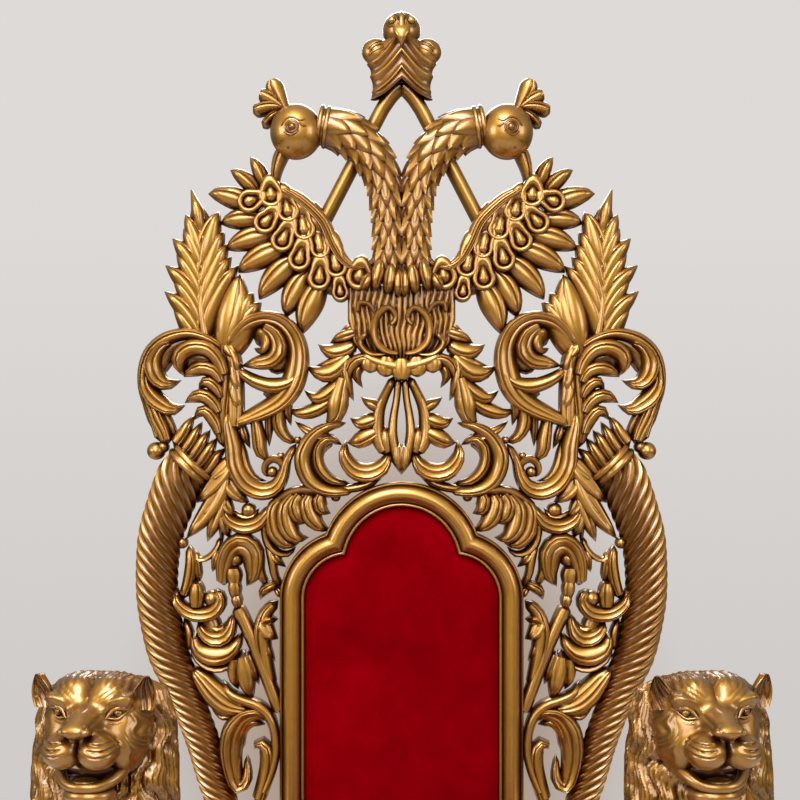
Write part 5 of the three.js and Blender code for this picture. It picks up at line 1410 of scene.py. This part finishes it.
def rail(plan, top, ledges=None):
    """A rail over its plan: the moulded section run from start to end.

    A ledge under the cushion may stand in from the inner face, by one width at the start and one at the end.
    """
    outer_a, outer_b, inner_b, inner_a = (np.asarray(p, float) for p in plan)
    inset, height = (np.array(c, float)[:, None] for c in zip(*RAIL_SECTION))
    z = RAIL_FOOT + height * (top - RAIL_FOOT) / height.max()
    rings = []
    for k, (outer, inner) in enumerate(((outer_a, inner_a), (outer_b, inner_b))):
        face = outer + unit(inner - outer) * inset
        inside = [[*inner, top], [*inner, RAIL_FOOT]]
        if ledges:
            lip = inner + unit(inner - outer) * ledges[k]
            inside = [[*lip, top], [*lip, top - LEDGE], [*inner, top - LEDGE - 2], [*inner, RAIL_FOOT]]
        rings.append(np.concatenate([np.concatenate([face, z], 1), inside]))
    return np.stack([rings[0] + (rings[1] - rings[0]) * s for s in np.linspace(0, 1, 12)]) * MM


class THRONE_OT_rails(bpy.types.Operator):
    """Runs the seat rails, with a leafy apron on the front one"""
    bl_idname = "throne.rails"
    bl_label = "Run the seat rails"

    def execute(self, context):
        rails = {"front_rail": (cross_plan(*FRONT_RAIL), RAIL_TOP),
                 "rear_rail": (cross_plan(*REAR_RAIL), REAR_RAIL_TOP)}
        for side, word in SIDES:
            rails[f"side_rail_{word}"] = ([(side * x, y) for x, y in SIDE_RAIL], RAIL_TOP, LEDGE_WIDTHS)
        for name, shape in rails.items():
            carving = Carving()
            carving.shell(rail(*shape))
            if name == "front_rail":
                apron(carving)
            gild(context, carving, f"moulded_{name}", name, RAIL_SHARP)
        return {"FINISHED"}


def apron(carving):
    """Leaves hanging over the front rail, longest in the middle."""
    for i in range(-4, 5):
        drop, x = 34 - 5 * abs(i), 34 * i
        leaf = [(x * .7, -214, 424), (x * .85, -232, 400), (x, -232, 366), (x * 1.12, -218, RAIL_FOOT - drop)]
        sweep_mm(carving, leaf, (1, 0, 0), (10, 19, 20, 1), (6, 10, 9, 1), 4, 20, 0, 20)


class THRONE_OT_cushion(bpy.types.Operator):
    """Fills the velvet seat cushion: rounded rings that draw in toward a crowned top"""
    bl_idname = "throne.cushion"
    bl_label = "Fill the seat cushion"

    def execute(self, context):
        across, along = rounded_ring(*CUSHION_HALF, 120, .2).T
        scale, rise = (np.array(c)[:, None] for c in zip(*CUSHION_LEVELS))
        z = CUSHION_FOOT + CUSHION_HEIGHT * rise
        grid = np.stack([scale * across, CUSHION_MIDDLE + scale * along, z + 0 * across], -1)
        carving = Carving()
        carving.shell(grid * MM)
        piece = carving.build("velvet_seat_cushion", crimson_velvet(context.scene.throne_colours))
        finish_piece(piece, "seat_cushion")
        return {"FINISHED"}


def softbox(name, place, size, power, colour):
    """A square area light at a place, turned to the throne."""
    data = bpy.data.lights.new(name, "AREA")
    data.shape, data.size, data.energy, data.color = "SQUARE", size, power, colour
    lamp = bpy.data.objects.new(name, data)
    way = np.array(LIGHT_AIM) - place
    lamp.location = place
    tip = math.acos(-way[2] / np.linalg.norm(way))
    lamp.rotation_euler = (tip, 0, math.atan2(way[1], way[0]) - math.pi / 2)
    bpy.context.scene.collection.objects.link(lamp)


def painted_floor(colours):
    """Matt paint on the studio floor."""
    # Gives the eye an even pale ground that takes a soft shadow.
    material, tree = new_material("Matt painted floor")
    shader = add_node(tree, "ShaderNodeBsdfPrincipled", Base_Color=(*colours.floor, 1), Roughness=.85)
    add_node(tree, "ShaderNodeOutputMaterial", Surface=shader.outputs[0])
    return material


def soft_studio(colours):
    """The world: a glow that grows upward lights the throne; behind it is a pale wall with a soft shade."""
    world = bpy.data.worlds.new("Soft studio")
    world.use_nodes = True
    tree = world.node_tree
    tree.nodes.clear()
    way = add_node(tree, "ShaderNodeTexCoord").outputs["Generated"]
    up = add_node(tree, "ShaderNodeSeparateXYZ", Vector=way).outputs["Z"]
    height = add_node(tree, "ShaderNodeMapRange", Value=up, From_Min=-.4, From_Max=.9, To_Min=.04, To_Max=.5)
    seen = add_node(tree, "ShaderNodeLightPath").outputs["Is Camera Ray"]
    glow = add_node(tree, "ShaderNodeBackground", Color=(1, .97, .93, 1), Strength=height.outputs[0])
    # Painted shade: the wall seen behind the throne darkens toward the bottom.
    fade = add_node(tree, "ShaderNodeMapRange", Value=up, From_Min=-.16, From_Max=.1, To_Min=.86, To_Max=1.0)
    pale = add_node(tree, "ShaderNodeBackground", Color=(*colours.backdrop, 1), Strength=fade.outputs[0])
    behind = add_node(tree, "ShaderNodeMapping", Vector=way, Location=(0, 0, .85), Scale=(6.7, 0, 5))
    off = add_node(tree, "ShaderNodeVectorMath", settings={"operation": "LENGTH"}, n0=behind.outputs[0])
    clear = add_node(tree, "ShaderNodeMapRange", settings={"interpolation_type": "SMOOTHSTEP"},
                     Value=off.outputs["Value"], From_Min=.3, From_Max=1.1, To_Min=0, To_Max=1)
    shade = add_node(tree, "ShaderNodeBackground", Color=(*colours.wall_shade, 1), Strength=1)
    wall = add_node(tree, "ShaderNodeMixShader", n0=clear.outputs[0], n1=shade.outputs[0], n2=pale.outputs[0])
    shown = add_node(tree, "ShaderNodeMixShader", n0=seen, n1=glow.outputs[0], n2=wall.outputs[0])
    add_node(tree, "ShaderNodeOutputWorld", Surface=shown.outputs[0])
    return world


class THRONE_OT_stage(bpy.types.Operator):
    """Sets the pale floor, the studio light and the camera"""
    bl_idname = "throne.stage"
    bl_label = "Set the stage"

    def execute(self, context):
        scene, colours = context.scene, context.scene.throne_colours
        half = FLOOR_HALF
        mesh = bpy.data.meshes.new("studio_floor")
        corners = [(-half, -half, 0), (half, -half, 0), (half, half, 0), (-half, half, 0)]
        mesh.from_pydata(corners, [], [(0, 1, 2, 3)])
        mesh.materials.append(painted_floor(colours))
        floor = bpy.data.objects.new("studio_floor", mesh)
        scene.collection.objects.link(floor)
        scene.world = soft_studio(colours)
        for light in LIGHTS:
            softbox(*light)
        lens = bpy.data.cameras.new("photograph")
        lens.sensor_width = SENSOR
        lens.lens = SENSOR * CAMERA_REACH / PHOTO_WIDTH
        camera = bpy.data.objects.new("photograph", lens)
        camera.location = (CAMERA_X, BACK_Y - CAMERA_REACH, PATTERN_FOOT + SQUARE * PHOTO_MIDDLE)
        camera.rotation_euler = (math.pi / 2, 0, 0)
        scene.collection.objects.link(camera)
        scene.camera = camera
        scene.view_settings.view_transform = "Standard"
        return {"FINISHED"}


class THRONE_PT_panel(bpy.types.Panel):
    """Sizes, colours and building steps of the throne"""
    bl_label = "Throne"
    bl_idname = "THRONE_PT_panel"
    bl_space_type = "VIEW_3D"
    bl_region_type = "UI"
    bl_category = "Throne"

    def draw(self, context):
        for settings in (context.scene.throne_sizes, context.scene.throne_colours):
            for name in settings.__annotations__:
                self.layout.prop(settings, name)
        for step in STEPS:
            self.layout.operator(step.bl_idname)


STEPS = (THRONE_OT_openwork, THRONE_OT_posts, THRONE_OT_frame, THRONE_OT_pad, THRONE_OT_lions, THRONE_OT_arms,
         THRONE_OT_rails, THRONE_OT_cushion, THRONE_OT_stage)
CLASSES = (ThroneSizes, ThroneColours, *STEPS, THRONE_PT_panel)


def register():
    """Registers the classes and hangs both property groups on the scene."""
    for one in CLASSES:
        bpy.utils.register_class(one)
    bpy.types.Scene.throne_sizes = PointerProperty(type=ThroneSizes)
    bpy.types.Scene.throne_colours = PointerProperty(type=ThroneColours)


def unregister():
    """Takes away what register added."""
    del bpy.types.Scene.throne_colours
    del bpy.types.Scene.throne_sizes
    for one in reversed(CLASSES):
        bpy.utils.unregister_class(one)


def main():
    """Builds every piece and the stage."""
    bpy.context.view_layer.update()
    register()
    for step in STEPS:
        family, name = step.bl_idname.split(".")
        getattr(getattr(bpy.ops, family), name)()


if __name__ == "__main__":
    main()
